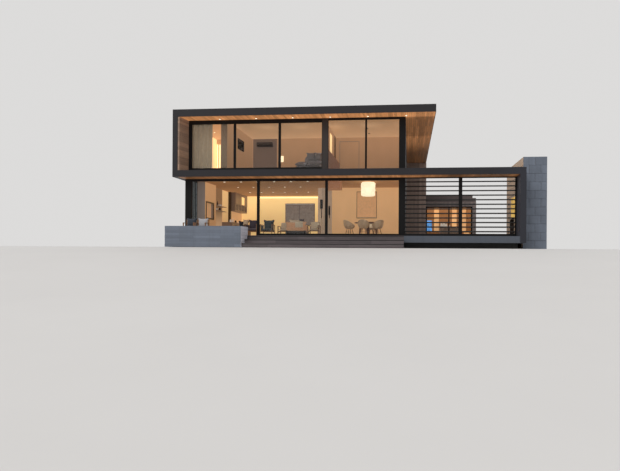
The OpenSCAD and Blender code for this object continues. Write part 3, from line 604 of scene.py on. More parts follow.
def dark_ribbon(tint):
    """Charcoal coated cladding of the folded ribbon, dusty on its top faces."""
    material, tree, shader = new_material("Charcoal ribbon", metallic=0.0, specular_ior_level=0.2)
    spot = place(tree)
    weather = use_group(tree, "Weathering", {"Vector": spot})
    fine = mottle(tree, spot, 60.0, 3.0)
    body = varied(tree, weather["Blotches"], tint, 0.93, 1.1)
    # lighter and bluer towards the ribbon's right end, from X 6.5 to 8.2
    lighter_on_right = blend_colours(tree, map_range(tree, split(tree, spot)[0], 6.5, 8.2), body,
                             colour((tint[0] * 1.3, tint[1] * 1.5, tint[2] * 1.75)))
    streaky = marked(tree, lighter_on_right, weather["Streaks"], 0.15, Vector(tint) * 1.5)
    seams = use_group(tree, "Joint lines", {"Vector": spot, "Pitch": (2.4, 2.4, 1000), "Width": 0.004})
    lined = marked(tree, streaky, seams["Line"], 0.6, (0.012, 0.012, 0.014))
    upward = map_range(tree, facing(tree)[2], 0.4, 0.9)
    dust = calc(tree, "MULTIPLY", upward, map_range(tree, fine, 0.3, 0.75, 0.35, 0.75))
    whole = blend_colours(tree, dust, lined, colour((0.17, 0.165, 0.16)))
    rough = map_range(tree, weather["Blotches"], 0.3, 0.7, 0.38, 0.58)
    height = calc(tree, "MULTIPLY_ADD", seams["Line"], -1.0, calc(tree, "MULTIPLY", fine, 0.12))
    feed(tree, shader, base_color=whole, roughness=rough, normal=relief(tree, height, 0.5, 0.002))
    return material


def boards(name, run, light, dark, rough=0.55, worn=0.0, glow=0.0, pools=None, separate=True):
    """Timber whose separate boards have their own shades. Run is the axis along the boards."""
    material, tree, shader = new_material(name, emission_strength=glow)
    spot = place(tree)
    tint = each_board(tree) if separate else mottle(tree, spot, 0.7, 2.0)
    stretch = [4.0, 4.0, 4.0]
    stretch["xyz".index(run)] = 0.35
    grain = use_group(tree, "Wood grain", {"Vector": spot, "Stretch": stretch,
                                           "Seed": calc(tree, "MULTIPLY", tint, 23.0)})
    base = shades(tree, map_range(tree, grain["Grain"], 0.3, 0.8), dark, light)
    toned = scaled(tree, base, map_range(tree, tint, 0.0, 1.0, 0.72, 1.2, False))
    if worn:
        weather = use_group(tree, "Weathering", {"Vector": spot})
        grey = sum(light) / 3 * 1.25
        toned = marked(tree, toned, weather["Blotches"], worn, (grey, grey * 0.97, grey * 0.98))
    height = calc(tree, "MULTIPLY_ADD", grain["Pores"], 0.7, grain["Grain"])
    feed(tree, shader, base_color=toned, normal=relief(tree, height, 0.35, 0.0015),
         roughness=map_range(tree, grain["Grain"], 0.3, 0.8, rough - 0.1, rough + 0.1))
    # painted light: the glow stands in for lamplight on the boards, in pools where pools are given
    if glow:
        lit = scaled(tree, toned, pools(tree, spot)) if pools else toned
        feed(tree, shader, emission_color=lit)
    return material


def soffit_pools(first, pitch, line, reach, peak, across, along):
    """How strongly a soffit's painted glow shows: pools round a row of fittings, and ramps of X and of Y
    that multiply together.
    """
    def lit(tree, spot):
        inputs = {"Vector": spot, "First": first, "Pitch": pitch, "Line": line, "Reach": reach}
        pool = use_group(tree, "Light pools", inputs)["Pool"]
        x, y = split(tree, spot)[:2]
        share = 1.0
        for value, ramps in ((x, across), (y, along)):
            for ramp in ramps:
                share = calc(tree, "MULTIPLY", map_range(tree, value, *ramp), share)
        return calc(tree, "MULTIPLY_ADD", pool, peak, share)
    return lit


def boarded_concrete(name, tint, rise, length):
    """Concrete cast against rough boards, with level board lines, pin holes and stains, and painted light on
    its faces that turn to +X.
    """
    material, tree, shader = new_material(name)
    spot = place(tree)
    course = use_group(tree, "Staggered courses", {"Vector": spot, "Length": length, "Rise": rise,
                                                   "Joint": 0.003})
    weather = use_group(tree, "Weathering", {"Vector": spot})
    grain = use_group(tree, "Wood grain", {"Vector": spot, "Stretch": (0.5, 0.5, 5.0), "Seed": 0.0})
    cloud = mottle(tree, spot, 3.0, 6.0, 0.6)
    body = varied(tree, cloud, tint, 0.82, 1.2)
    toned = scaled(tree, body, map_range(tree, course["Shade"], 0.0, 1.0, 0.86, 1.12, False))
    stained = marked(tree, toned, weather["Streaks"], 0.3, Vector(tint) * 0.6)
    lined = marked(tree, stained, course["Joints"], 0.6, Vector(tint) * 0.45)
    # painted light: faces that turn to +X are painted several times lighter and paler, standing in for sky
    # light on the planter's right side
    right_face = facing(tree)[0]
    lighter_on_right = scaled(tree, lined, map_range(tree, right_face, 0.8, 0.95, 1.0, 4.6))
    pale = blend_colours(tree, map_range(tree, right_face, 0.8, 0.95, 0.0, 0.4), lighter_on_right,
                         colour((0.62, 0.5, 0.46)))
    cells = put(tree, "ShaderNodeTexVoronoi", {"Vector": spot, "Scale": 28.0}).outputs[0]
    holes = map_range(tree, cells, 0.03, 0.09)
    height = calc(tree, "MULTIPLY_ADD", grain["Grain"], 0.5, calc(tree, "MULTIPLY", course["Joints"], -1.2))
    pitted = calc(tree, "MULTIPLY_ADD", holes, 0.6, height)
    feed(tree, shader, base_color=pale, roughness=map_range(tree, cloud, 0.3, 0.7, 0.68, 0.88),
         normal=relief(tree, pitted, 0.5, 0.003))
    return material


def stone_blocks(name, tint, lamplit_face_tint=None, separate=True):
    """Honed masonry blocks, each with its own shade, darker in the joints and rain-streaked."""
    material, tree, shader = new_material(name)
    spot = place(tree)
    own = each_board(tree) if separate else mottle(tree, spot, 0.7, 2.0)
    grit = mottle(tree, spot, 70.0, 4.0, 0.6)
    cloud = mottle(tree, spot, 2.2, 6.0, 0.65)
    weather = use_group(tree, "Weathering", {"Vector": spot})
    body = varied(tree, cloud, tint, 0.8, 1.22)
    toned = scaled(tree, body, map_range(tree, own, 0.0, 1.0, 0.86, 1.14, False))
    speckled = blend_colours(tree, map_range(tree, grit, 0.58, 0.72, 0.0, 0.45), toned,
                             colour(Vector(tint) * 1.9))
    streaky = marked(tree, speckled, weather["Streaks"], 0.3, Vector(tint) * 0.55)
    # painted light: faces that turn to -X are painted lighter and blended towards a warm tint, standing in
    # for lamplight on them
    if lamplit_face_tint:
        inward = map_range(tree, facing(tree)[0], -0.8, -0.95)
        painted_lamplight = scaled(tree, streaky, map_range(tree, inward, 0.0, 1.0, 1.0, 1.7))
        streaky = marked(tree, painted_lamplight, inward, 0.65, lamplit_face_tint)
    feed(tree, shader, base_color=streaky, roughness=map_range(tree, grit, 0.3, 0.7, 0.72, 0.9),
         normal=relief(tree, grit, 0.35, 0.002))
    return material


def paved(name, tint, size, joint=0.004):
    """Large slabs with thin joints on top and a plain cast edge."""
    material, tree, shader = new_material(name)
    spot = place(tree)
    up = map_range(tree, facing(tree)[2], 0.6, 0.8)
    lines = use_group(tree, "Joint lines", {"Vector": spot, "Pitch": (size, size, 1000), "Width": joint})
    weather = use_group(tree, "Weathering", {"Vector": spot})
    cloud = mottle(tree, spot, 4.0, 6.0, 0.65)
    body = varied(tree, cloud, tint, 0.8, 1.2)
    stained = marked(tree, body, weather["Streaks"], 0.35, Vector(tint) * 0.62)
    shown = calc(tree, "MULTIPLY", calc(tree, "MULTIPLY", lines["Line"], up), 0.7)
    lined = blend_colours(tree, shown, stained, colour(Vector(tint) * 0.3))
    fine = mottle(tree, spot, 120.0, 3.0)
    height = calc(tree, "MULTIPLY_ADD", fine, 0.4, calc(tree, "MULTIPLY", shown, -1.0))
    feed(tree, shader, base_color=lined, roughness=map_range(tree, cloud, 0.3, 0.7, 0.65, 0.85),
         normal=relief(tree, height, 0.4, 0.002))
    return material


def coated_metal(name, tint, rough=0.4):
    """Powder-coated aluminium with a fine orange peel and dust on its top faces."""
    material, tree, shader = new_material(name, metallic=0.0, specular_ior_level=0.15)
    spot = place(tree)
    peel = mottle(tree, spot, 420.0, 2.0)
    cloud = mottle(tree, spot, 5.0, 5.0)
    up = facing(tree)[2]
    body = varied(tree, cloud, tint, 0.8, 1.25)
    dust = map_range(tree, up, 0.7, 1.0, 0.0, 0.3)
    dusty = blend_colours(tree, dust, body, colour((0.12, 0.115, 0.11)))
    feed(tree, shader, base_color=dusty, normal=relief(tree, peel, 0.12, 0.0006),
         roughness=map_range(tree, cloud, 0.3, 0.7, rough - 0.08, rough + 0.1))
    return material


def plaster(name, tint, glow=0.0, lit=None, rough=0.8):
    """Rolled paint on a flat wall or ceiling. Lit gives how strongly each place glows."""
    material, tree, shader = new_material(name, emission_strength=glow)
    spot = place(tree)
    nap = mottle(tree, spot, 160.0, 3.0)
    cloud = mottle(tree, spot, 1.2, 4.0)
    body = varied(tree, cloud, tint, 0.93, 1.06)
    feed(tree, shader, base_color=body, normal=relief(tree, nap, 0.15, 0.0008),
         roughness=map_range(tree, nap, 0.3, 0.7, rough - 0.08, rough + 0.08))
    # painted light: the glow stands in for the rooms' lamplight on the paint
    if glow:
        share = lit(tree, spot) if lit else map_range(tree, cloud, 0.0, 1.0, 0.95, 1.05, False)
        feed(tree, shader, emission_color=scaled(tree, body, share))
    return material


def rising(low_z, high_z, low_share, high_share):
    """Light on a wall that changes with height."""
    def lit(tree, spot):
        return map_range(tree, split(tree, spot)[2], low_z, high_z, low_share, high_share)
    return lit


def planks(name, light, dark, length, width, rough=0.45):
    """A laid timber floor with staggered boards."""
    material, tree, shader = new_material(name)
    spot = place(tree)
    course = use_group(tree, "Staggered courses", {"Vector": spot, "Length": length, "Rise": width,
                                                   "Joint": 0.0015})
    seed = calc(tree, "MULTIPLY", course["Shade"], 17.0)
    grain = use_group(tree, "Wood grain", {"Vector": spot, "Stretch": (0.35, 4.0, 4.0), "Seed": seed})
    base = shades(tree, map_range(tree, grain["Grain"], 0.3, 0.8), dark, light)
    toned = scaled(tree, base, map_range(tree, course["Shade"], 0.0, 1.0, 0.8, 1.15, False))
    lined = marked(tree, toned, course["Joints"], 0.7, (0.02, 0.012, 0.008))
    feed(tree, shader, base_color=lined, normal=relief(tree, grain["Pores"], 0.2, 0.001),
         roughness=map_range(tree, grain["Grain"], 0.3, 0.8, rough - 0.1, rough + 0.12))
    return material


def cloth(name, tint, threads=900.0, rough=0.85, sheen=0.3, glow=0.0):
    """Woven upholstery cloth."""
    material, tree, shader = new_material(name, sheen_weight=sheen, emission_strength=glow)
    spot = place(tree)
    weave = use_group(tree, "Weave", {"Vector": spot, "Threads": threads})["Threads"]
    cloud = mottle(tree, spot, 9.0, 5.0)
    body = varied(tree, cloud, tint, 0.8, 1.18)
    toned = scaled(tree, body, map_range(tree, weave, 0.0, 1.0, 0.86, 1.1, False))
    feed(tree, shader, base_color=toned, normal=relief(tree, weave, 0.3, 0.0012),
         roughness=map_range(tree, cloud, 0.3, 0.7, rough - 0.06, rough + 0.06))
    # painted light: the glow stands in for the rooms' lamplight on the cloth
    if glow:
        feed(tree, shader, emission_color=toned)
    return material


def moulded(name, tint, rough=0.35, glow=0.0):
    """Moulded shell with a faint grain and soft wear."""
    material, tree, shader = new_material(name, emission_strength=glow)
    spot = place(tree)
    grain = mottle(tree, spot, 300.0, 2.0)
    cloud = mottle(tree, spot, 6.0, 4.0)
    body = varied(tree, cloud, tint, 0.9, 1.06)
    feed(tree, shader, base_color=body, normal=relief(tree, grain, 0.1, 0.0005),
         roughness=map_range(tree, cloud, 0.3, 0.7, rough - 0.06, rough + 0.1))
    # painted light: the glow stands in for the rooms' lamplight on these goods
    if glow:
        feed(tree, shader, emission_color=body)
    return material


def glowing(name, tint, glow, uneven=0.1, scale=6.0):
    """A lit fitting, shade or ember bed."""
    material, tree, shader = new_material(name, emission_strength=glow, roughness=0.6)
    cloud = mottle(tree, place(tree), scale, 3.0)
    body = varied(tree, map_range(tree, cloud, 0.3, 0.7), tint, 1 - uneven, 1)
    feed(tree, shader, base_color=body, emission_color=body)
    return material


def clear_glass():
    material, tree, shader = new_material(
        "Clear glass", metallic=0.0, transmission_weight=1.0, specular_ior_level=0.25, ior=1.2)
    spot = place(tree)
    film = mottle(tree, stretched(tree, spot, (1.0, 1.0, 0.4)), 2.0, 4.0)
    body = shades(tree, film, (0.90, 0.93, 0.93), (0.97, 0.98, 0.98))
    feed(tree, shader, base_color=body, roughness=map_range(tree, film, 0.3, 0.7, 0.0, 0.02))
    return material


def ceiling_light(first, pitch, line):
    """A ceiling's painted glow: pools round its own fittings, and brighter towards the back."""
    def lit(tree, spot):
        inputs = {"Vector": spot, "First": first, "Pitch": pitch, "Line": line, "Reach": 0.5}
        pool = use_group(tree, "Light pools", inputs)["Pool"]
        depth = map_range(tree, split(tree, spot)[1], 1.0, 7.0, 0.7, 1.3)
        return calc(tree, "MULTIPLY_ADD", pool, 0.35, depth)
    return lit


def make_timbers(timber, glow):
    """Boards, each with its own shade, and the same timber for the solids under some of them."""
    under_roof = soffit_pools(*ROOF_LIGHTS, 0.42, 0.9, [(-8, 4, 1.35, 1.4)],
                              [(0.75, 0.95, 1, 0.38), (4.95, 5.1, 1, 1.65), (5.7, 10.5, 1, 0.1)])
    under_band = soffit_pools(-6.41, 1.77, 0.3, 0.35, 0.4, [(-8, -2, 0.4, 1.15), (2.9, 5.5, 1, 0.2)],
                              [(0.0, 0.7, 0.6, 1.1)])
    for key, name, *values in (
        ("roof_boards", "Cedar under the roof", "y", timber, timber * 0.62,
         0.5, 0.0, 0.6 * glow, under_roof),
        ("band_boards", "Cedar under the band", "y", timber * 0.6, timber * 0.34,
         0.5, 0.0, glow, under_band),
        ("reveal_boards", "Cedar beside the window", "y", (0.34, 0.2, 0.12), (0.2, 0.115, 0.07),
         0.55, 0.2, 0.12),
        ("deck", "Weathered decking", "x", (0.13, 0.1, 0.105), (0.068, 0.053, 0.056), 0.75, 0.3),
        ("dark_boards", "Stained boards", "z", (0.38, 0.26, 0.205), (0.22, 0.152, 0.12), 0.6, 0.15),
        ("side_boards", "Dark side cladding", "z", (0.062, 0.062, 0.066), (0.032, 0.032, 0.035), 0.6, 0.25),
        ("wing_boards", "Wing boards", "x", (0.22, 0.165, 0.15), (0.11, 0.083, 0.075), 0.65, 0.2),
        ("bulkhead", "Ceiling casing", "x", (0.32, 0.135, 0.065), (0.2, 0.088, 0.044), 0.5, 0.0, 0.75),
        ("furniture_wood", "Chair timber", "z", (0.32, 0.15, 0.06), (0.13, 0.055, 0.022), 0.45, 0.0, 0.12),
        ("dark_wood", "Dark timber", "x", (0.06, 0.035, 0.025), (0.025, 0.014, 0.011), 0.35),
        ("cabinet_wood", "Dark cabinet fronts", "z", (0.16, 0.1, 0.066), (0.09, 0.057, 0.04), 0.4, 0.0, 0.6),
    ):
        FINISHES[key] = boards(name, *values)
        FINISHES[key + "_solid"] = boards(name + " core", *values, separate=False)
    make_each(boards, (
        ("post_wood", "Post facing", "z", (0.022, 0.011, 0.006), (0.012, 0.006, 0.0035), 0.5, 0.05),
        ("wall_end", "Grey veneer", "z", (0.46, 0.3, 0.185), (0.27, 0.178, 0.11), 0.55, 0.2, 0.75),
        ("table_wood", "Table timber", "x", (0.12, 0.045, 0.03), (0.06, 0.022, 0.015), 0.35, 0.0, 0.1),
        ("frame_wood", "Thin brown frames", "z", (0.2, 0.1, 0.05), (0.12, 0.055, 0.03), 0.5, 0.0, 0.1),
    ))


def make_paints(wall, glow):
    """Painted walls and ceilings, with a painted glow that stands in for the light of the rooms' lamps."""
    make_each(plaster, (
        ("cream_paint", "Cream paint", (0.5, 0.38, 0.25), 0.25),
        ("wall", "Warm wall", wall, 0.3 * glow, rising(*LOW_ROOM, 0.45, 1.0)),
        ("back_wall", "Lit back wall", (0.94, 0.64, 0.27), 0.78 * glow, rising(1.4, 3.38, 0.7, 1.15)),
        ("dining_wall", "Dining wall", (0.62, 0.37, 0.18), 0.66 * glow, rising(*LOW_ROOM, 0.8, 1.0)),
        ("upper_wall", "Upper wall", (0.55, 0.35, 0.205), 0.28 * glow, rising(*UP_ROOM, 0.7, 1.15)),
        ("lower_ceiling", "Lower ceiling", (0.42, 0.22, 0.10), 0.33 * glow, ceiling_light(-6.41, 1.76, 1.9)),
        ("upper_ceiling", "Upper ceiling", (0.54, 0.33, 0.18), 0.62 * glow, ceiling_light(-6.2, 1.82, 2.4)),
        ("upper_lit", "Lit upper wall", (0.95, 0.68, 0.34), 0.9 * glow, rising(*UP_ROOM, 0.8, 1.1)),
        # a darker copy of the upper wall: painted shade on the partition's front end
        ("partition_end", "Partition end", (0.25, 0.165, 0.105), 0.12 * glow),
        ("recess_wall", "Shaded recess", (0.24, 0.185, 0.155), 0.22 * glow),
        ("low_wall", "Low wall", (0.29, 0.18, 0.14), 0.2 * glow),
        ("pier_side", "Lit side of the pier", (0.54, 0.31, 0.15), 0.6 * glow, rising(*LOW_ROOM, 0.6, 1.1)),
        ("shelf_bay", "Shelf bay", (0.42, 0.27, 0.15), 0.3 * glow, rising(1.2, 2.2, 2.6, 0.9)),
        ("lit_strip", "Lit side strip", (0.78, 0.52, 0.24), 0.6 * glow, rising(*LOW_ROOM, 0.6, 1.15)),
        ("pier", "Pier plaster", (0.32, 0.26, 0.225), 0.15 * glow, rising(*LOW_ROOM, 0.7, 1.0)),
        ("wing_ceiling", "Wing ceiling", (0.85, 0.56, 0.3), 0.95 * glow, ceiling_light(*WING_LIGHTS)),
        ("wing_wall", "Wing wall", (0.36, 0.2, 0.09), 0.25 * glow, rising(0.57, 3.4, 0.5, 1.1)),
    ))


def make_stones(stone, ribbon):
    """Concrete, blocks, slabs, the roof's membrane and the ribbon's cladding."""
    # the second colour is painted lamplight on the chimney blocks' faces that turn to -X
    chimney = (stone * 0.92, (0.95, 0.64, 0.38))
    make_each(stone_blocks, (
        ("block", "Chimney blocks", *chimney),
        ("block_solid", "Chimney core", *chimney, False),
        # near black: the backing that shows in gaps and joints, and painted shade on the plinth and the deck
        # framing
        ("dark_base", "Dark base", (0.022, 0.022, 0.021), None, False),
        ("steel_plate", "Sooty steel", (0.018, 0.015, 0.014), None, False),
    ))
    make_each(paved, (
        ("slab", "Terrace slabs", stone * 0.5, 0.9),
        ("membrane", "Roof membrane", (0.05, 0.05, 0.055), 1.05, 0.01),
    ))
    FINISHES["ribbon"] = dark_ribbon(ribbon)
    FINISHES["concrete"] = boarded_concrete("Board-marked concrete", stone, 0.13, 1.3)
    FINISHES["floorboards"] = planks("Oak floor", (0.38, 0.24, 0.13), (0.24, 0.14, 0.07), 1.6, 0.14)


def make_fittings(metal):
    """Metals, lit fittings, glass and moulded goods."""
    make_each(coated_metal, (
        ("wing_fascia", "Wing fascia", (0.11, 0.088, 0.084), 0.5),
        ("black", "Black aluminium", metal, 0.38),
        ("blade", "Screen blades", Vector(metal) * 1.6, 0.42),
        ("fitting", "Light fitting rims", (0.55, 0.53, 0.5), 0.4),
    ))
    make_each(glowing, (
        ("amber_strip", "Lit strip", (0.8, 0.5, 0.12), 0.6, 0.4, 2.0),
        ("lamp", "Lamp shade", (1.0, 0.86, 0.60), 1.0, 0.12, 3.0),
        ("spot_light", "Lit lens", (1.0, 0.9, 0.7), 2.2, 0.05),
        ("cove", "Cove light", (1.0, 0.86, 0.5), 1.4, 0.08),
        ("flame", "Flame", (1.0, 0.36, 0.06), 2.0, 0.55, 14.0),
        # painted light: the blinds glow, standing in for lamplight on them
        ("amber_panel", "Amber blind", (0.82, 0.46, 0.2), 0.78, 0.3, 1.2),
        ("blue_screen", "Lit screen", (0.12, 0.42, 1.0), 0.9, 0.6, 2.2),
    ))
    make_each(moulded, (
        ("teal_glass", "Obscured teal glass", (0.1, 0.122, 0.13), 0.3, 0.45),
        ("screen", "Dark screen", (0.018, 0.02, 0.024), 0.18),
        ("living_screen", "Living room screen", (0.14, 0.105, 0.082), 0.25, 0.9),
        # the shells' outsides are painted darker than their insides, as painted shade
        ("shell", "Chair shells", (0.44, 0.285, 0.17), 0.4, 0.2),
        ("shell_lining", "Chair insides", (0.78, 0.66, 0.48), 0.4, 0.2),
        ("white_goods", "Pale ceramics", (0.80, 0.78, 0.74), 0.3, 0.2),
        ("dark_goods", "Dark ceramics", (0.10, 0.08, 0.11), 0.4),
        ("slate_unit", "Slate air unit", (0.075, 0.08, 0.095), 0.4),
    ))
    FINISHES["glass"] = clear_glass()


def make_cloths():
    """Upholstery, throws, curtain and the bare board."""
    make_each(cloth, (
        ("canvas", "Bare board", (0.76, 0.44, 0.22), 700.0, 0.85, 0.1, 0.4),
        ("sofa_cloth", "Sofa cloth", (0.5, 0.25, 0.13), 700.0, 0.85, 0.3, 0.4),
        ("teal_cloth", "Teal cloth", (0.035, 0.05, 0.056), 800.0),
        ("plum_cloth", "Plum cloth", (0.05, 0.036, 0.05), 800.0),
        ("navy_cloth", "Navy canvas", (0.028, 0.036, 0.052), 800.0),
        ("cream_cloth", "Cream cloth", (0.62, 0.47, 0.32), 800.0, 0.85, 0.4, 0.15),
        ("pale_grey_cloth", "Pale grey canvas", (0.36, 0.36, 0.38), 800.0, 0.85, 0.3, 0.08),
        ("couch_cloth", "Couch cloth", (0.22, 0.2, 0.2), 700.0, 0.85, 0.3, 0.1),
        ("grey_cloth", "Grey cloth", (0.20, 0.19, 0.19), 700.0, 0.85, 0.3, 0.1),
        ("curtain_cloth", "Curtain cloth", (0.46, 0.35, 0.235), 900.0, 0.9, 0.3, 0.12),
    ))


def make_materials(look):
    """Makes each finish once, from the colours set in the panel."""
    make_timbers(Vector(look.timber_colour), look.glow)
    make_stones(Vector(look.stone_colour), look.ribbon_colour)
    make_paints(Vector(look.wall_colour), look.glow)
    make_fittings(look.metal_colour)
    make_cloths()


# finish of each CAD node that stays, and of those that a later step replaces
NODE_FINISHES = {
    "ribbon": ["roof_slab", "left_ribbon_wall", "floor_band", "right_ribbon_leg"],
    "wing_fascia": ["wing_roof"],
    "roof_boards": ["roof_soffit"],
    "band_boards": ["band_soffit"],
    "reveal_boards": ["left_reveal_lining"],
    "concrete": ["planter_box"],
    "slab": ["terrace_slab"],
    # the recessed plinth is near black: painted shadow under the slab
    "dark_base": ["plinth"],
    "floorboards": ["ground_floor", "upper_floor"],
    "deck": ["front_deck", "step_lower", "step_upper"],
    "block": ["chimney_wall"],
    "steel_plate": ["chimney_firebox"],
    "blade": ["screen_blades_left", "screen_blades_right"],
    "black": ["screen_posts", "upper_window_frame", "lower_window_frame", "sliding_door_frame",
              "side_window_frames", "rear_window_frames"],
    "side_boards": ["left_wall_lower", "side_wall_lower", "side_wall_upper", "rear_wall_lower",
                    "rear_wall_upper"],
    "dark_boards": ["timber_wall"],
    "bulkhead": ["ceiling_box"],
    "wing_boards": ["wing_walls"],
    "wall": ["lower_partitions"],
    "upper_wall": ["upper_partitions"],
    "pier": ["hearth_pier"],
    "cabinet_wood": ["kitchen_cabinets"],
    "dark_wood": ["dining_table"],
    "lamp": ["pendant_lamp"],
    "shell": ["dining_chairs"],
    "canvas": ["picture_board"],
    "screen": ["bedroom_screen", "living_screens"],
    "slate_unit": ["air_unit"],
    "sofa_cloth": ["living_sofa"],
    "teal_cloth": ["armchairs"],
    "navy_cloth": ["deck_chairs"],
    "furniture_wood": ["lounge_chairs"],
    "grey_cloth": ["bedroom_couch"],
    "curtain_cloth": ["upper_curtain"],
    "glass": ["upper_window_glass", "lower_window_glass", "sliding_door_glass", "side_window_glass"],
}


def tint_value(name, description, default):
    return FloatVectorProperty(name=name, description=description, default=default, subtype="COLOR",
                               min=0.0, max=1.0)


def length_value(name, description, default, low, high):
    return FloatProperty(name=name, description=description, default=default, subtype="DISTANCE",
                         unit="LENGTH", min=low, max=high)


class HouseLook(bpy.types.PropertyGroup):
    """Sizes and colours of the finish"""
    ribbon_colour: tint_value("Ribbon colour", "Colour of the folded ribbon", (0.041, 0.037, 0.041))
    timber_colour: tint_value("Timber colour", "Lightest colour of the cedar linings", (0.47, 0.205, 0.078))
    stone_colour: tint_value("Concrete colour", "Colour of the concrete planter", (0.145, 0.168, 0.21))
    metal_colour: tint_value("Metal colour", "Colour of the window frames", (0.0055, 0.005, 0.005))
    wall_colour: tint_value("Wall colour", "Colour of the rooms' walls", (0.62, 0.46, 0.30))
    lining_pitch: length_value("Lining pitch", "Width of one lining board with its gap", 0.1, 0.06, 0.2)
    lining_gap: length_value("Lining gap", "Gap between two lining boards", 0.006, 0.002, 0.02)
    deck_board: length_value("Deck board width", "Width of one deck board with its gap", 0.14, 0.08, 0.2)
    deck_gap: length_value("Deck gap", "Gap between two deck boards", 0.007, 0.002, 0.02)
    clad_pitch: length_value("Cladding pitch", "Width of one wall board with its gap", 0.15, 0.08, 0.4)
    block_length: length_value("Block length", "Length of one chimney block", 0.59, 0.3, 1.2)
    block_joint: length_value("Block joint", "Width of the joint between two blocks", 0.008, 0.003, 0.02)
    spot_radius: length_value("Downlight radius", "Radius of a downlight's rim", 0.06, 0.03, 0.1)
    glow: FloatProperty(
        name="Glow", description="Share of the rooms' light", subtype="FACTOR",
        default=1.0, min=0.0, max=2.0)


# boards in rows

def laid_boards(low, high, run, across, pitch, gap, per_row=1, ease=0.002):
    """Covers a box with boards. Run and across are axis numbers. Every other row breaks its joints."""
    low, high = Vector(low), Vector(high)
    rows = max(1, round((high[across] - low[across]) / pitch))
    step = (high[across] - low[across]) / rows
    length = (high[run] - low[run]) / per_row
    kinds = [[i * length for i in range(per_row + 1)]]
    if per_row > 1 and rows > 1:
        kinds.append([0.0, *[(i + 0.5) * length for i in range(per_row)], per_row * length])
    whole = []
    for kind, cuts in enumerate(kinds):
        row = []
        for start, end in zip(cuts, cuts[1:]):
            a, b = low.copy(), high.copy()
            a[run] = low[run] + start + gap / 4
            b[run] = low[run] + end - gap / 4
            a[across] = low[across] + kind * step + gap / 2
            b[across] = a[across] + step - gap
            row.append(bar(a, b, ease))
        stride = [0, 0, 0]
        stride[across] = step * len(kinds)
        count = len(range(kind, rows, len(kinds)))
        whole.append(repeat(joined(row), count, stride))
    return joined(whole)


def clad_face(face, start, end, z0, z1, plane, out, holes, pitch, gap=0.006, thick=0.018):
    """Upright boards on one wall face, cut round holes given as two places along it and two heights."""
    along = 1 if plane == "x" else 0
    skin = sorted((face, face + out * thick))
    marks = sorted({start, end, *[h[0] for h in holes], *[h[1] for h in holes]})
    pieces = []
    for u0, u1 in zip(marks, marks[1:]):
        spans = [(z0, z1)]
        for h in holes:
            if h[0] <= u0 and u1 <= h[1]:
                spans = [(z0, h[2]), (h[3], z1)]
        for low_z, high_z in spans:
            if high_z - low_z < 0.03:
                continue
            low = (skin[0], u0, low_z) if plane == "x" else (u0, skin[0], low_z)
            high = (skin[1], u1, high_z) if plane == "x" else (u1, skin[1], high_z)
            pieces.append(laid_boards(low, high, 2, along, pitch, gap))
    return joined(pieces)


def downlight(radius):
    """Rim and lens of one downlight, its flange against a ceiling at height 0."""
    rim = turned([(radius * 0.66, 0.0), (radius * 0.7, -0.003), (radius * 0.94, -0.006), (radius, 0.0)], 20)
    lens = turned([(0, -0.002), (radius * 0.68, -0.002), (radius * 0.68, 0.0), (0, 0.0)], 20, False)
    return rim, lens


def downlights(name, places, radius):
    """A row of downlights at the given places."""
    rim, lens = downlight(radius)
    rims = joined([shifted(rim, p) for p in places])
    lenses = joined([shifted(lens, p) for p in places])
    discard(rim)
    discard(lens)
    complete(rims, name + "_rims", "fitting")
    complete(lenses, name + "_lenses", "spot_light")


def cut_out(piece, cutters):
    """Cuts boxes out of a piece."""
    for low, high in cutters:
        tool = bar(low, high, 0)
        cut = piece.modifiers.new("Opening", "BOOLEAN")
        cut.operation = "DIFFERENCE"
        cut.solver = "EXACT"
        cut.object = tool
        apply_modifiers(piece)
        discard(tool)
    return piece


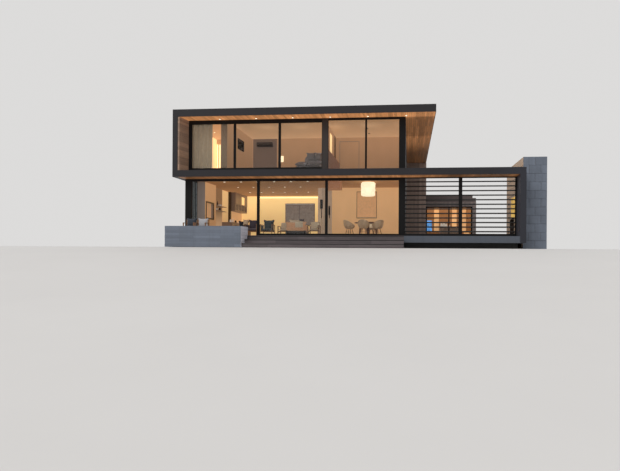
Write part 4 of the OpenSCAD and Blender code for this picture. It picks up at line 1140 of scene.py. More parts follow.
class BEACH_OT_stage(bpy.types.Operator):
    """Sets up the floor, the light and the camera"""
    bl_idname = "beach.stage"
    bl_label = "Studio"

    def execute(self, context):
        scene = context.scene
        floor = grid(8, 60)
        floor.name = "studio_floor"
        wide, deep, middle_y = 160, 110, 22
        # in front of the house the ground falls away towards the camera
        brink_y, run, fall = -1.5, 22.5, 1.6
        for vertex in floor.data.vertices:
            vertex.co.x *= wide
            vertex.co.y = vertex.co.y * deep + middle_y
            drop = min(max((brink_y - vertex.co.y) / run, 0.0), 1.5)
            vertex.co.z = -fall * drop - 0.002
        material, tree, shader = new_material("Studio floor", roughness=0.9)
        soft = mottle(tree, place(tree), 0.4)
        feed(tree, shader, base_color=shades(tree, soft, (0.60, 0.59, 0.58), (0.64, 0.63, 0.62)))
        floor.data.materials.append(material)
        world = bpy.data.worlds.new("Studio sky")
        scene.world = world
        world.use_nodes = True
        tree = world.node_tree
        backdrop = tree.nodes["Background"]
        backdrop.inputs["Color"].default_value = (1.0, 0.99, 0.98, 1)
        path = put(tree, "ShaderNodeLightPath").outputs
        seen = calc(tree, "MAXIMUM", path["Is Camera Ray"],
                    calc(tree, "MAXIMUM", path["Is Glossy Ray"], path["Is Transmission Ray"]))
        # the sky that shows, also in glass, is a little dimmer than the one that lights the house
        level = map_range(tree, seen, 0.0, 1.0, 0.85, 0.72, False)
        tree.links.new(level, backdrop.inputs["Strength"])
        sun = bpy.data.lights.new("Key light", "SUN")
        sun.energy = 1.0
        sun.angle = math.radians(30)
        key = bpy.data.objects.new("Key light", sun)
        key.rotation_euler = (math.radians(50), 0, math.radians(-35))
        scene.collection.objects.link(key)
        lens = bpy.data.cameras.new("Camera")
        lens.sensor_width = 36
        lens.lens = CAMERA_LENS
        lens.shift_x, lens.shift_y = CAMERA_SHIFT
        lens.clip_end = 400
        camera = bpy.data.objects.new("Camera", lens)
        camera.location = CAMERA_PLACE
        camera.rotation_euler = (math.pi / 2, CAMERA_ROLL, math.radians(CAMERA_TURN_LEFT))
        scene.collection.objects.link(camera)
        scene.camera = camera
        scene.view_settings.view_transform = "Standard"
        return {"FINISHED"}


class BEACH_OT_base_finishes(bpy.types.Operator):
    """Gives every carried-over part of the house its finish"""
    bl_idname = "beach.base_finishes"
    bl_label = "Base finishes"

    def execute(self, context):
        make_groups()
        make_materials(context.scene.house_look)
        for finish, names in NODE_FINISHES.items():
            finish_nodes(names, FINISHES.get(finish + "_solid", FINISHES[finish]))
        return {"FINISHED"}


class BEACH_OT_linings(bpy.types.Operator):
    """Cedar boards under the roof and the band and beside the upper window, with their downlights"""
    bl_idname = "beach.linings"
    bl_label = "Timber linings"

    def execute(self, context):
        look = context.scene.house_look
        pitch, gap = look.lining_pitch, look.lining_gap
        side_x = edges("side_wall_upper")[3]
        glaze_y = edges("upper_window_frame")[1]
        for node, finish, lengths in (("roof_soffit", "roof_boards", 5), ("band_soffit", "band_boards", 1)):
            x0, y0, z0, x1, y1, z1 = edges(node)
            face = z0 + 0.018
            front = laid_boards((x0, y0, z0), (side_x, glaze_y, face), 1, 0, pitch, gap)
            right = laid_boards((side_x, y0, z0), (x1, y1, face), 1, 0, pitch, gap, lengths)
            complete([front, right], node + "_boards", finish, replaces=(node,))
            backing = [bar((x0, y0, face), (side_x, glaze_y, z1 - 0.001), 0.002),
                       bar((side_x, y0, face), (x1, y1, z1 - 0.001), 0.002)]
            complete(backing, node + "_backing", "dark_base")
        x0, y0, z0, x1, y1, z1 = edges("left_reveal_lining")
        front_x = x0 + 0.085
        rows = round((z1 - z0) / pitch)
        step = (z1 - z0) / rows
        outline = [(x0, y0), (front_x, y0), (x1, glaze_y), (x1, y1), (x0, y1)]
        board = prism(outline, z0 + gap / 2, z0 + step - gap / 2, 0.002)
        complete(repeat(board, rows, (0, 0, step)), "reveal_boards", "reveal_boards",
                 replaces=("left_reveal_lining",))
        inset = 0.02
        core = [(x0, y0 + inset), (front_x - inset, y0 + inset), (x1 - inset, glaze_y), (x1 - inset, y1),
                (x0, y1)]
        complete(prism(core, z0, z1), "reveal_backing", "dark_base")
        places = row_places(ROOF_LIGHTS, 6, edges("roof_soffit")[2])
        downlights("roof_downlights", places, look.spot_radius)
        return {"FINISHED"}


class BEACH_OT_decking(bpy.types.Operator):
    """Weathered treads and risers of the deck and its two steps, and the framing under them"""
    bl_idname = "beach.decking"
    bl_label = "Deck and steps"

    def execute(self, context):
        look = context.scene.house_look
        pitch, gap = look.deck_board, look.deck_gap
        # thickness of the treads, depth that the risers take up and the shadow gap under each nosing
        thick, lip, shadow = 0.026, 0.022, 0.028
        left_x, deck_y0, _, _, deck_y1, deck_z = edges("front_deck")
        step_x0, low_y0, _, step_x1, _, step_z = edges("step_lower")
        _, mid_y0, mid_z0, _, _, mid_z = edges("step_upper")
        planter_y1 = edges("planter_box")[4]
        flights = [
            ("step_lower", step_x0, low_y0, mid_y0, 0.0, step_z, 5),
            ("step_upper", step_x0, mid_y0, deck_y0, mid_z0, mid_z, 4),
            ("front_deck", step_x0, deck_y0, deck_y1, mid_z, deck_z, 5),
        ]
        for node, x0, y0, y1, z0, z1, per_row in flights:
            low_z, riser_z = z1 - thick, z1 - thick - shadow
            pieces = [laid_boards((x0, y0, low_z), (step_x1, y1, z1), 0, 1, pitch, gap, per_row, 0.003),
                      laid_boards((x0, y0 + 0.004, z0 + 0.003), (step_x1, y0 + lip, riser_z), 0, 2,
                                  pitch, gap, per_row + 1)]
            if node == "front_deck":
                pieces += [
                    laid_boards((left_x, planter_y1, low_z), (x0, y1, z1), 0, 1, pitch, gap, 2, 0.003),
                    laid_boards((left_x, planter_y1, 0.004), (left_x + lip, y1, riser_z), 1, 2, pitch, gap),
                ]
            complete(pieces, node + "_boards", "deck", replaces=(node,))
        # the framing is near black: painted shade, so that the gap under each nosing reads as a shadow line
        frames = [
            bar((step_x0, low_y0 + lip, 0), (step_x1, deck_y1, step_z - thick), 0.002),
            bar((step_x0, mid_y0 + lip, step_z - thick), (step_x1, deck_y1, mid_z - thick), 0.002),
            bar((step_x0, deck_y0 + lip, mid_z - thick), (step_x1, deck_y1, deck_z - thick), 0.002),
            bar((left_x + lip, planter_y1, 0), (step_x0, deck_y1, deck_z - thick), 0.002),
        ]
        complete(frames, "deck_framing", "dark_base")
        return {"FINISHED"}


class BEACH_OT_planter(bpy.types.Operator):
    """Concrete planter cast in courses round a hollow core"""
    bl_idname = "beach.planter"
    bl_label = "Planter"

    def execute(self, context):
        x0, y0, _, x1, y1, z1 = edges("planter_box")
        wall, rise, half_joint, recess = 0.15, 0.1385, 0.0015, 0.008
        rows = round(z1 / rise)
        step = z1 / rows
        courses = []
        for row in range(rows):
            jut = (0.0, 0.003, 0.0015)[row % 3]
            low = (x0 + jut, y0 + jut, row * step + half_joint)
            high = (x1 - jut, y1 - jut, (row + 1) * step - half_joint)
            courses.append(bar(low, high, 0.004))
        shell = joined(courses)
        core = bar((x0 + recess, y0 + recess, 0), (x1 - recess, y1 - recess, z1 - 0.006), 0)
        hollow = ((x0 + wall, y0 + wall, wall), (x1 - wall, y1 - wall, z1 + 0.1))
        cut_out(shell, [hollow])
        cut_out(core, [hollow])
        complete(shell, "planter_courses", "concrete", replaces=("planter_box",))
        complete(core, "planter_core", "concrete")
        return {"FINISHED"}


class BEACH_OT_chimney(bpy.types.Operator):
    """Chimney wall of staggered blocks, with the hearth and its fire"""
    bl_idname = "beach.chimney"
    bl_label = "Chimney wall"

    def execute(self, context):
        look = context.scene.house_look
        half = look.block_joint / 2
        x0, y0, _, x1, y1, z1 = edges("chimney_wall")
        courses, flue, recess = 11, 0.25, 0.012
        rise = z1 / courses
        lengths = round((y1 - y0) / look.block_length)
        length = (y1 - y0) / lengths
        width = (x1 - x0) / 2
        plans = [
            ([0, 1, 2], list(range(lengths + 1))),
            ([0, 0.5, 1.5, 2], [0, *[i + 0.5 for i in range(lengths)], lengths]),
        ]
        stacks = []
        for kind, (xs, ys) in enumerate(plans):
            level = []
            for a, b in zip(xs, xs[1:]):
                for c, d in zip(ys, ys[1:]):
                    low = (x0 + a * width + (half if a else 0), y0 + c * length + (half if c else 0),
                           kind * rise + (half if kind else 0))
                    high = (x0 + b * width - (half if b < 2 else 0),
                            y0 + d * length - (half if d < lengths else 0), (kind + 1) * rise - half)
                    level.append(bar(low, high, 0.006))
            stacks.append(repeat(joined(level), (courses + 1 - kind) // 2, (0, 0, rise * 2)))
        blocks = joined(stacks)
        _, fire_y0, fire_z0, fire_x1, fire_y1, fire_z1 = edges("chimney_firebox")
        flue_y = (fire_y0 + fire_y1) / 2
        hearth = ((x0 - 0.1, fire_y0, fire_z0), (fire_x1, fire_y1, fire_z1))
        shaft = ((fire_x1 - flue, flue_y - flue / 2, fire_z1 - 0.01), (fire_x1, flue_y + flue / 2, z1 + 0.1))
        core = bar((x0 + recess, y0 + recess, 0), (x1 - recess, y1 - recess, z1 - recess), 0)
        for piece in (blocks, core):
            cut_out(piece, [hearth, shaft])
        complete(blocks, "chimney_blocks", "block", replaces=("chimney_wall",))
        complete(core, "chimney_mortar", "dark_base")
        self.fire(x0, fire_y0, fire_z0, fire_y1)
        return {"FINISHED"}

    def fire(self, x0, y0, z0, y1):
        """Grate, logs and flames in the firebox."""
        middle = (y0 + y1) / 2
        floor_z = z0 + 0.04
        rail = bar((x0 + 0.12, y0 + 0.14, floor_z + 0.05), (x0 + 0.44, y0 + 0.155, floor_z + 0.065), 0.002)
        rails = repeat(rail, 10, (0, 0.078, 0))
        feet = [bar((x0 + 0.14, y, floor_z), (x0 + 0.16, y + 0.02, floor_z + 0.05), 0.002)
                for y in (y0 + 0.16, y1 - 0.18)]
        feet += [shifted(foot, (0.24, 0, 0)) for foot in feet]
        complete([rails, *feet], "fire_grate", "steel_plate")
        profile = [(0, -0.27), (0.035, -0.27), (0.045, -0.26), (0.05, 0.0), (0.045, 0.26), (0.035, 0.27),
                   (0, 0.27)]
        places = ((-0.04, -0.16, 8, 0.0), (0.05, 0.12, -10, 0.0), (0.0, 0.0, 3, 0.085))
        logs = []
        for inward, along, turn, lift in places:
            spin = Matrix.Rotation(math.radians(turn), 4, "Z") @ Matrix.Rotation(math.pi / 2, 4, "X")
            spot = (x0 + 0.26 + inward, middle + along, floor_z + 0.118 + lift)
            logs.append(moved(turned(profile, 12), Matrix.Translation(spot) @ spin))
        flames = []
        for i, tall in enumerate((0.24, 0.32, 0.27, 0.36, 0.25, 0.3, 0.2)):
            flame = turned([(0.01, 0), (0.045, 0.05), (0.05, 0.1), (0.028, 0.7 * tall), (0.004, tall)], 10)
            spot = (x0 + 0.2 + 0.03 * (i % 3), middle - 0.27 + 0.09 * i, floor_z + 0.1)
            flames.append(moved(flame, Matrix.Translation(spot)))
        complete(logs, "fire_logs", "dark_wood")
        complete(flames, "fire_flames", "flame")


class BEACH_OT_roof(bpy.types.Operator):
    """Membrane, laps, kerb and outlets on top of the roof, and the cap round its edge"""
    bl_idname = "beach.roof"
    bl_label = "Roof covering"

    def execute(self, context):
        x0, y0, _, x1, y1, z1 = edges("roof_slab")
        rim, tray = 0.18, 0.06
        base = z1 - tray
        sheet = bar((x0 + rim, y0 + rim, base), (x1 - rim, y1 - rim, base + 0.006), 0.001)
        lap = bar((x0 + rim, y0 + rim + 1.0, base + 0.006), (x1 - rim, y0 + rim + 1.08, base + 0.01), 0.001)
        laps = repeat(lap, 13, (0, 1.0, 0))
        kerb = window_ring((x0 + rim, y0 + rim, base), (x1 - rim, y1 - rim, base + 0.045), 0.03, "z", 0.008)
        complete([sheet, laps, kerb], "roof_membrane", "membrane")
        cap = window_ring((x0, y0, z1 - 0.002), (x1, y1, z1), rim, "z", 0.0005)
        complete(cap, "roof_edge_cap", "ribbon")
        outlet = turned([(0, 0.006), (0.05, 0.008), (0.09, 0.02), (0.1, 0.006), (0.11, 0.002)], 24)
        grilles = [shifted(outlet, (x, 12.6, base + 0.004)) for x in (-6.5, 2.6)]
        discard(outlet)
        complete(grilles, "roof_outlets", "black")
        return {"FINISHED"}


class BEACH_OT_cladding(bpy.types.Operator):
    """Upright boards on the outer walls, the storey flashings and the slot window's louvres"""
    bl_idname = "beach.cladding"
    bl_label = "Wall boards"

    def execute(self, context):
        pitch = context.scene.house_look.clad_pitch
        left_x, _, _, inner_x, rear_y, low_top = edges("left_wall_lower")
        _, _, up_base, side_x, _, up_top = edges("side_wall_upper")
        floor_z = edges("ground_floor")[5]
        _, back_y, _, timber_x1, _, _ = edges("timber_wall")
        ribbon_x0 = edges("rear_wall_upper")[0]
        foot, start_y = 0.01, 0.905
        side_low, side_up, rear_low, rear_up = wall_holes(floor_z)
        louvres = [bar((inner_x - 0.008, start_y + 0.03 + 0.2 * i, floor_z + 0.05),
                       (inner_x - 0.002, start_y + 0.12 + 0.2 * i, low_top - 0.07), 0.001) for i in range(4)]
        complete(louvres, "slot_window_louvres", "teal_glass")
        slot = (start_y, 1.7, floor_z, low_top)
        for name, *wall in (
            ("left_wall_boards", left_x, start_y, rear_y, foot, low_top, "x", -1, [slot]),
            ("courtyard_wall_boards", side_x, start_y, back_y, floor_z, low_top, "x", 1, side_low),
            ("overhang_wall_boards", side_x, start_y, back_y, up_base, up_top, "x", 1, side_up),
            ("rear_lower_boards", rear_y, left_x, side_x, foot, low_top, "y", 1, rear_low),
            ("rear_upper_boards", rear_y, ribbon_x0, side_x, up_base, up_top, "y", 1, rear_up),
        ):
            complete(clad_face(*wall, pitch), name, "side_boards")
        strips = [bar((ribbon_x0, rear_y, low_top), (side_x, rear_y + 0.024, up_base), 0.004),
                  bar((side_x, 1.07, low_top), (side_x + 0.024, back_y, up_base), 0.004)]
        complete(strips, "storey_flashings", "ribbon")
        timber = [clad_face(back_y, side_x, timber_x1, floor_z, up_top, "y", -1, [], pitch),
                  clad_face(rear_y, side_x, timber_x1, foot, up_top, "y", 1, [], pitch),
                  clad_face(timber_x1, back_y, rear_y, 3.93, up_top, "x", 1, [], pitch)]
        complete(timber, "timber_wall_boards", "dark_boards")
        wing_x0, wing_y0, _, wing_x1, wing_y1, wing_top = edges("wing_walls")
        open_x0 = wing_x0 + 0.2
        opening = (open_x0, wing_x1 - 0.24, floor_z, 3.11)
        wing = [clad_face(wing_x0, rear_y + 0.02, wing_y1, foot, wing_top, "x", -1, [], pitch),
                clad_face(wing_y1, wing_x0, wing_x1, foot, wing_top, "y", 1, [], pitch),
                clad_face(wing_x1, wing_y0, wing_y1, foot, wing_top, "x", 1, [], pitch),
                clad_face(wing_y0, open_x0, wing_x1, floor_z, wing_top, "y", -1, [opening], pitch)]
        complete(wing, "wing_wall_boards", "wing_boards")
        return {"FINISHED"}


class BEACH_OT_windows(bpy.types.Operator):
    """Glazing beads, the wide post's facing, sills, the door's track and its handle"""
    bl_idname = "beach.windows"
    bl_label = "Window trims"

    def execute(self, context):
        _, glass_y0, _, _, glass_y1, _ = edges("upper_window_glass")
        # heights of each row of lights, and the left and right edge of each light
        rows = [(3.9, 6.1, [(-7.711, -5.554), (-5.464, -3.298), (-3.208, -1.154)]),
                (3.79, 6.185, [(-0.861, 0.95), (1.012, 2.577)]),
                (0.672, 3.265, [(-4.251, -0.976), (-0.873, 2.577)])]
        beads, bead = [], 0.016
        for z0, z1, lights in rows:
            for x0, x1 in lights:
                beads.append(window_ring((x0, glass_y0 - bead, z0), (x1, glass_y0 - 0.001, z1), bead))
                beads.append(window_ring((x0, glass_y1 + 0.001, z0), (x1, glass_y1 + bead, z1), bead))
        complete(beads, "glazing_beads", "black")
        frame_y0 = edges("upper_window_frame")[1]
        facing_board = bar((-1.15, frame_y0 - 0.006, 3.75), (-0.865, frame_y0, 6.22), 0.001)
        complete(facing_board, "wide_post_facing", "post_wood")
        side_x = edges("side_wall_upper")[3]
        rear_y = edges("rear_wall_upper")[4]
        out, inner, thick = 0.035, 0.06, 0.015
        side_y0, side_y1 = SIDE_UP_SPAN
        sills = [bar((side_x - inner, side_y0, SIDE_SILL - thick), (side_x + out, side_y1, SIDE_SILL))]
        for x0, x1 in REAR_SPANS:
            sills.append(bar((x0, rear_y - inner, REAR_SILL - thick), (x1, rear_y + out, REAR_SILL)))
            sills.append(bar((x0, rear_y - 0.03, 0.545), (x1, rear_y + out, 0.569)))
        complete(sills, "window_sills", "black")
        door_x0, door_y0, _, door_x1, door_y1, _ = edges("sliding_door_frame")
        floor_z = edges("ground_floor")[5]
        rail = bar((-7.69, door_y0 + 0.001, floor_z), (door_x1, door_y0 + 0.007, floor_z + 0.004), 0.001)
        complete([rail, shifted(rail, (0, 0.052, 0))], "door_track", "black")
        middle = door_x0 + 0.05
        plate = bar((middle - 0.022, door_y0 - 0.002, 1.47), (middle + 0.022, door_y0, 1.87), 0.0008)
        grip = bar((middle - 0.014, door_y1 + 0.03, 1.45), (middle + 0.014, door_y1 + 0.046, 1.89), 0.005)
        arms = [bar((middle - 0.01, door_y1, z), (middle + 0.01, door_y1 + 0.034, z + 0.02), 0.002)
                for z in (1.49, 1.83)]
        complete([plate, grip, *arms], "door_handle", "fitting", body="sliding_door")
        return {"FINISHED"}


# soft goods

PAD = {}


def pad_master():
    """The mesh of a square pad of unit size, filled by cloth pressure so that its sides pull in."""
    piece = grid(12, 12)
    edit(piece)
    bpy.ops.mesh.extrude_region_move(TRANSFORM_OT_translate={"value": (0, 0, 0.09)})
    bpy.ops.mesh.select_all(action="SELECT")
    bpy.ops.mesh.normals_make_consistent(inside=False)
    close_edit()
    for face in piece.data.polygons:
        face.select = abs(face.normal.z) < 0.5
    puff = piece.modifiers.new("Filling", "CLOTH")
    puff.settings.quality = 6
    puff.settings.use_pressure = True
    puff.settings.uniform_pressure_force = 3.0
    puff.settings.effector_weights.gravity = 0
    for frame_number in range(1, 16):
        bpy.context.scene.frame_set(frame_number)
    apply_modifiers(piece)
    bpy.context.scene.frame_set(1)
    edit_selected(piece)
    bpy.ops.mesh.inset(thickness=0.028)
    bpy.ops.transform.shrink_fatten(value=0.014)
    close_edit()
    soft = piece.modifiers.new("Soft", "SUBSURF")
    soft.levels = soft.render_levels = 1
    apply_modifiers(piece)
    bpy.ops.object.shade_smooth()
    low, high = ([pick(v.co[i] for v in piece.data.vertices) for i in range(3)] for pick in (min, max))
    for vertex in piece.data.vertices:
        vertex.co = Vector([(vertex.co[i] - low[i]) / (high[i] - low[i]) - 0.5 for i in range(3)])
    mesh = piece.data.copy()
    discard(piece)
    return mesh


def cushion(low, high, tilt=0.0, turn=0.0):
    """A filled pad that takes up a box, leaned and turned about its middle by degrees."""
    low, high = Vector(low), Vector(high)
    size = high - low
    middle = (low + high) / 2
    if "mesh" not in PAD:
        PAD["mesh"] = pad_master()
    piece = bpy.data.objects.new("Pad", PAD["mesh"].copy())
    bpy.context.scene.collection.objects.link(piece)
    flat = min(range(3), key=lambda i: size[i])
    quarter = math.pi / 2
    lay = {0: Matrix.Rotation(quarter, 4, "Y"), 1: Matrix.Rotation(quarter, 4, "X"), 2: Matrix()}[flat]
    grow = Matrix.Diagonal((*size, 1))
    lean = Matrix.Rotation(math.radians(turn), 4, "Z") @ Matrix.Rotation(math.radians(tilt), 4, "X")
    return moved(piece, Matrix.Translation(middle) @ lean @ grow @ lay)


def padded(made, name, finish, replaces=()):
    piece = complete(made, name, finish, replaces=replaces)


def draped(path, x0, x1, wave=0.012, thick=0.006, seed=1):
    """A cloth strip that follows a path of Y and Z places. Returns the piece and its flat length."""
    lengths = [0.0]
    for (ya, za), (yb, zb) in zip(path, path[1:]):
        lengths.append(lengths[-1] + math.hypot(yb - ya, zb - za))
    total = lengths[-1]
    piece = grid(14, 24)
    phase = random.Random(seed).uniform(0, 6)
    for vertex in piece.data.vertices:
        across, along = vertex.co.x + 0.5, (vertex.co.y + 0.5) * total
        span = max(i for i in range(len(path) - 1) if lengths[i] <= along + 1e-6)
        share = (along - lengths[span]) / (lengths[span + 1] - lengths[span])
        y, z = (a + share * (b - a) for a, b in zip(path[span], path[span + 1]))
        ripple = wave * math.sin(across * 9 + phase) * math.sin(along / total * math.pi)
        vertex.co = (x0 + across * (x1 - x0), y - abs(ripple), z + ripple * 0.3 + wave * 0.4)
    thickened(piece, thick, 1)
    bpy.ops.object.shade_smooth()
    return piece, total


def splayed_leg(top, foot, radius_top, radius_foot, sides=10):
    """A tapered round leg between two points."""
    top, foot = Vector(top), Vector(foot)
    run = top - foot
    leg = turned([(0, 0), (radius_foot, 0), (radius_top, run.length), (0, run.length)], sides)
    spin = run.to_track_quat("Z", "Y").to_matrix().to_4x4()
    return moved(leg, Matrix.Translation(foot) @ spin)


class BEACH_OT_rooms(bpy.types.Operator):
    """Ceilings, wall linings, cove light and downlights of the rooms"""
    bl_idname = "beach.rooms"
    bl_label = "Rooms"

    # X of the lit doorway and of the dark slot above the low wall upstairs, and how far up they start
    OPENING_X, OPENING_RISE = -1.06, 1.12

    def execute(self, context):
        spot_radius = context.scene.house_look.spot_radius
        low_x0, low_y0, _, _, _, floor_z = edges("ground_floor")
        up_x0, _, low_top, _, _, up_floor = edges("upper_floor")
        up_top = edges("roof_slab")[2]
        part_x0, near_y, _, _, part_y1, _ = edges("upper_partitions")
        _, dining_y, _, room_x1, living_y1, _ = edges("lower_partitions")
        low_ceiling, up_ceiling = low_top - LINING, up_top - LINING
        living_y = living_y1 - 0.12
        front_y, rear_y, back = low_y0 + 0.115, REAR_FACE_Y - 0.01, UP_BACK_Y
        wall_x, hall_x = -2.0, -1.21
        plates = [
            ("upper_ceiling", "upper_ceiling", (up_x0, near_y, up_ceiling), (room_x1, back, up_top)),
            ("upper_rear_ceiling", "wall", (up_x0, part_y1, up_ceiling), (room_x1, rear_y, up_top)),
            ("living_ceiling", "lower_ceiling", (low_x0, front_y, low_ceiling),
             (wall_x, living_y, low_top)),
            ("dining_ceiling", "lower_ceiling", (wall_x, front_y, low_ceiling),
             (room_x1, dining_y, low_top)),
            ("rear_ceiling", "wall", (low_x0, living_y, low_ceiling), (room_x1, rear_y, low_top)),
            ("living_back_lining", "back_wall", (low_x0, living_y - LINING, floor_z),
             (wall_x, living_y, low_ceiling)),
            ("dining_back_lining", "dining_wall", (hall_x, dining_y - LINING, floor_z),
             (room_x1, dining_y, low_ceiling)),
        ]
        for name, finish, low, high in plates:
            complete(bar(low, high, 0.001), name, finish)
        veneer = laid_boards((wall_x, dining_y - 0.02, floor_z), (hall_x, dining_y, low_ceiling),
                             2, 0, 0.2, 0.003)
        complete(veneer, "wall_end_veneer", "wall_end")
        side_low, side_up, rear_low, rear_up = wall_holes(floor_z)
        lit = [self.lining(up_x0, near_y, back, up_floor, up_ceiling, "x", 1),
               bar((up_x0 + LINING, back - LINING, up_floor), (part_x0 - 0.001, back, up_ceiling), 0.001)]
        complete(lit, "upper_lit_lining", "upper_lit")
        strips = [bar((x, back - 0.05, up_floor), (x + 0.05, back - LINING, up_top - 0.3))
                  for x in (up_x0 + 0.06, up_x0 + 0.2)]
        complete(strips, "upper_left_strips", "cove")
        upper = [self.lining(up_x0, part_y1, rear_y, up_floor, up_ceiling, "x", 1),
                 self.lining(room_x1, near_y, rear_y, up_floor, up_ceiling, "x", -1, side_up),
                 self.lining(REAR_FACE_Y, up_x0, room_x1, up_floor, up_ceiling, "y", -1, rear_up)]
        complete(upper, "upper_wall_lining", "upper_wall")
        lower = [self.lining(low_x0, 3.2, rear_y, floor_z, low_ceiling, "x", 1),
                 self.lining(room_x1, low_y0 + 0.12, rear_y, floor_z, low_ceiling, "x", -1, side_low),
                 self.lining(REAR_FACE_Y, low_x0, room_x1, floor_z, low_ceiling, "y", -1, rear_low)]
        complete(lower, "lower_wall_lining", "wall")
        cove = bar((-6.6, living_y - 0.05, 3.255), (wall_x - 0.03, living_y - LINING, 3.3), 0.004)
        complete(cove, "cove_light", "cove")
        rows = (((-6.41, 0.87, 1.9), 6), ((-6.435, 0.885, 4.1), 5), ((-6.53, 0.72, 6.6), 6))
        spots = [spot for row, count in rows for spot in row_places(row, count, low_ceiling)]
        downlights("living_downlights", spots, spot_radius * 1.25)
        downlights("upper_downlights", [(-7.5, 3.3, up_ceiling)], spot_radius)
        sensors = [post((0.87, y, up_ceiling - 0.02), 0.05, 0.02, 0.004, 18) for y in (3.0, 4.1)]
        complete(sensors, "ceiling_sensors", "black")
        self.partition_faces(near_y, back, up_floor, up_top)
        self.door_outline(back, up_floor)
        return {"FINISHED"}

    def lining(self, face, start, end, z0, z1, plane, out, holes=()):
        """One smooth lining of a wall, with its window openings left out."""
        whole = 30
        return clad_face(face, start, end, z0, z1, plane, out, holes, whole, 0.001, LINING)

    def partition_faces(self, near_y, back, floor_z, top):
        """Painted faces of the upper partitions: an end and the recess in painted shade, the low wall and
        the lit doorway.
        """
        end_x0, end_x1, recess_x0, recess_x1, skin = -6.245, -5.93, -5.88, -4.49, 0.004
        # painted shade: the front end is coloured darker than the wall beside it
        cap = bar((end_x0, near_y - skin, floor_z), (end_x1, near_y, top), 0.001)
        complete(cap, "partition_end_face", "partition_end")
        recess = bar((recess_x0, back - 0.006, floor_z), (recess_x1, back, top - 0.02), 0.001)
        complete(recess, "recess_face", "recess_wall")
        x0, x1, far_y, low_top, coping = -1.05, -0.872, back - 0.02, floor_z + 1.1, 0.012
        low = [bar((x1 - 0.008, near_y, floor_z), (x1, far_y, low_top), 0.001),
               bar((x0, near_y - skin, floor_z), (x1, near_y, low_top), 0.001),
               bar((x0, near_y, low_top), (x1, far_y, low_top + coping), 0.002)]
        complete(low, "low_wall_face", "low_wall")
        open_x, open_z = self.OPENING_X, floor_z + self.OPENING_RISE
        doorway = bar((open_x, 2.7, open_z), (open_x + 0.008, 3.4, 6.0), 0.001)
        complete(doorway, "upper_lit_doorway", "upper_lit")

    def door_outline(self, back, floor_z):
        """Flush door, its frame and the skirting on the back wall upstairs, and the dark slot."""
        x0, x1, top = -0.87, 0.246, 6.05
        wide, deep, inset = 0.022, 0.016, 0.03
        leaf = bar((x0 + inset, back - 0.008, floor_z + 0.01), (x1 - inset, back, top - inset), 0.002)
        complete(leaf, "upper_door_leaf", "upper_wall")
        frame_bars = [bar((x0, back - deep, floor_z), (x0 + wide, back, top), 0.002),
                      bar((x1 - wide, back - deep, floor_z), (x1, back, top), 0.002),
                      bar((x0 + wide, back - deep, top - wide), (x1 - wide, back, top), 0.002)]
        complete(frame_bars, "upper_door_frame", "pier")
        skirt = [bar((start, back - 0.014, floor_z), (end, back, floor_z + 0.09), 0.003)
                 for start, end in ((x1, 2.598), (-5.9, -1.2))]
        complete(skirt, "upper_skirting", "pier")
        open_x, open_z = self.OPENING_X, floor_z + self.OPENING_RISE
        # painted shade: a thin near-black sheet stands in for the shade inside the slot
        slot = bar((open_x, 4.3, open_z), (open_x + 0.015, 4.9, 6.2), 0.002)
        complete(slot, "upper_door_recess", "screen")


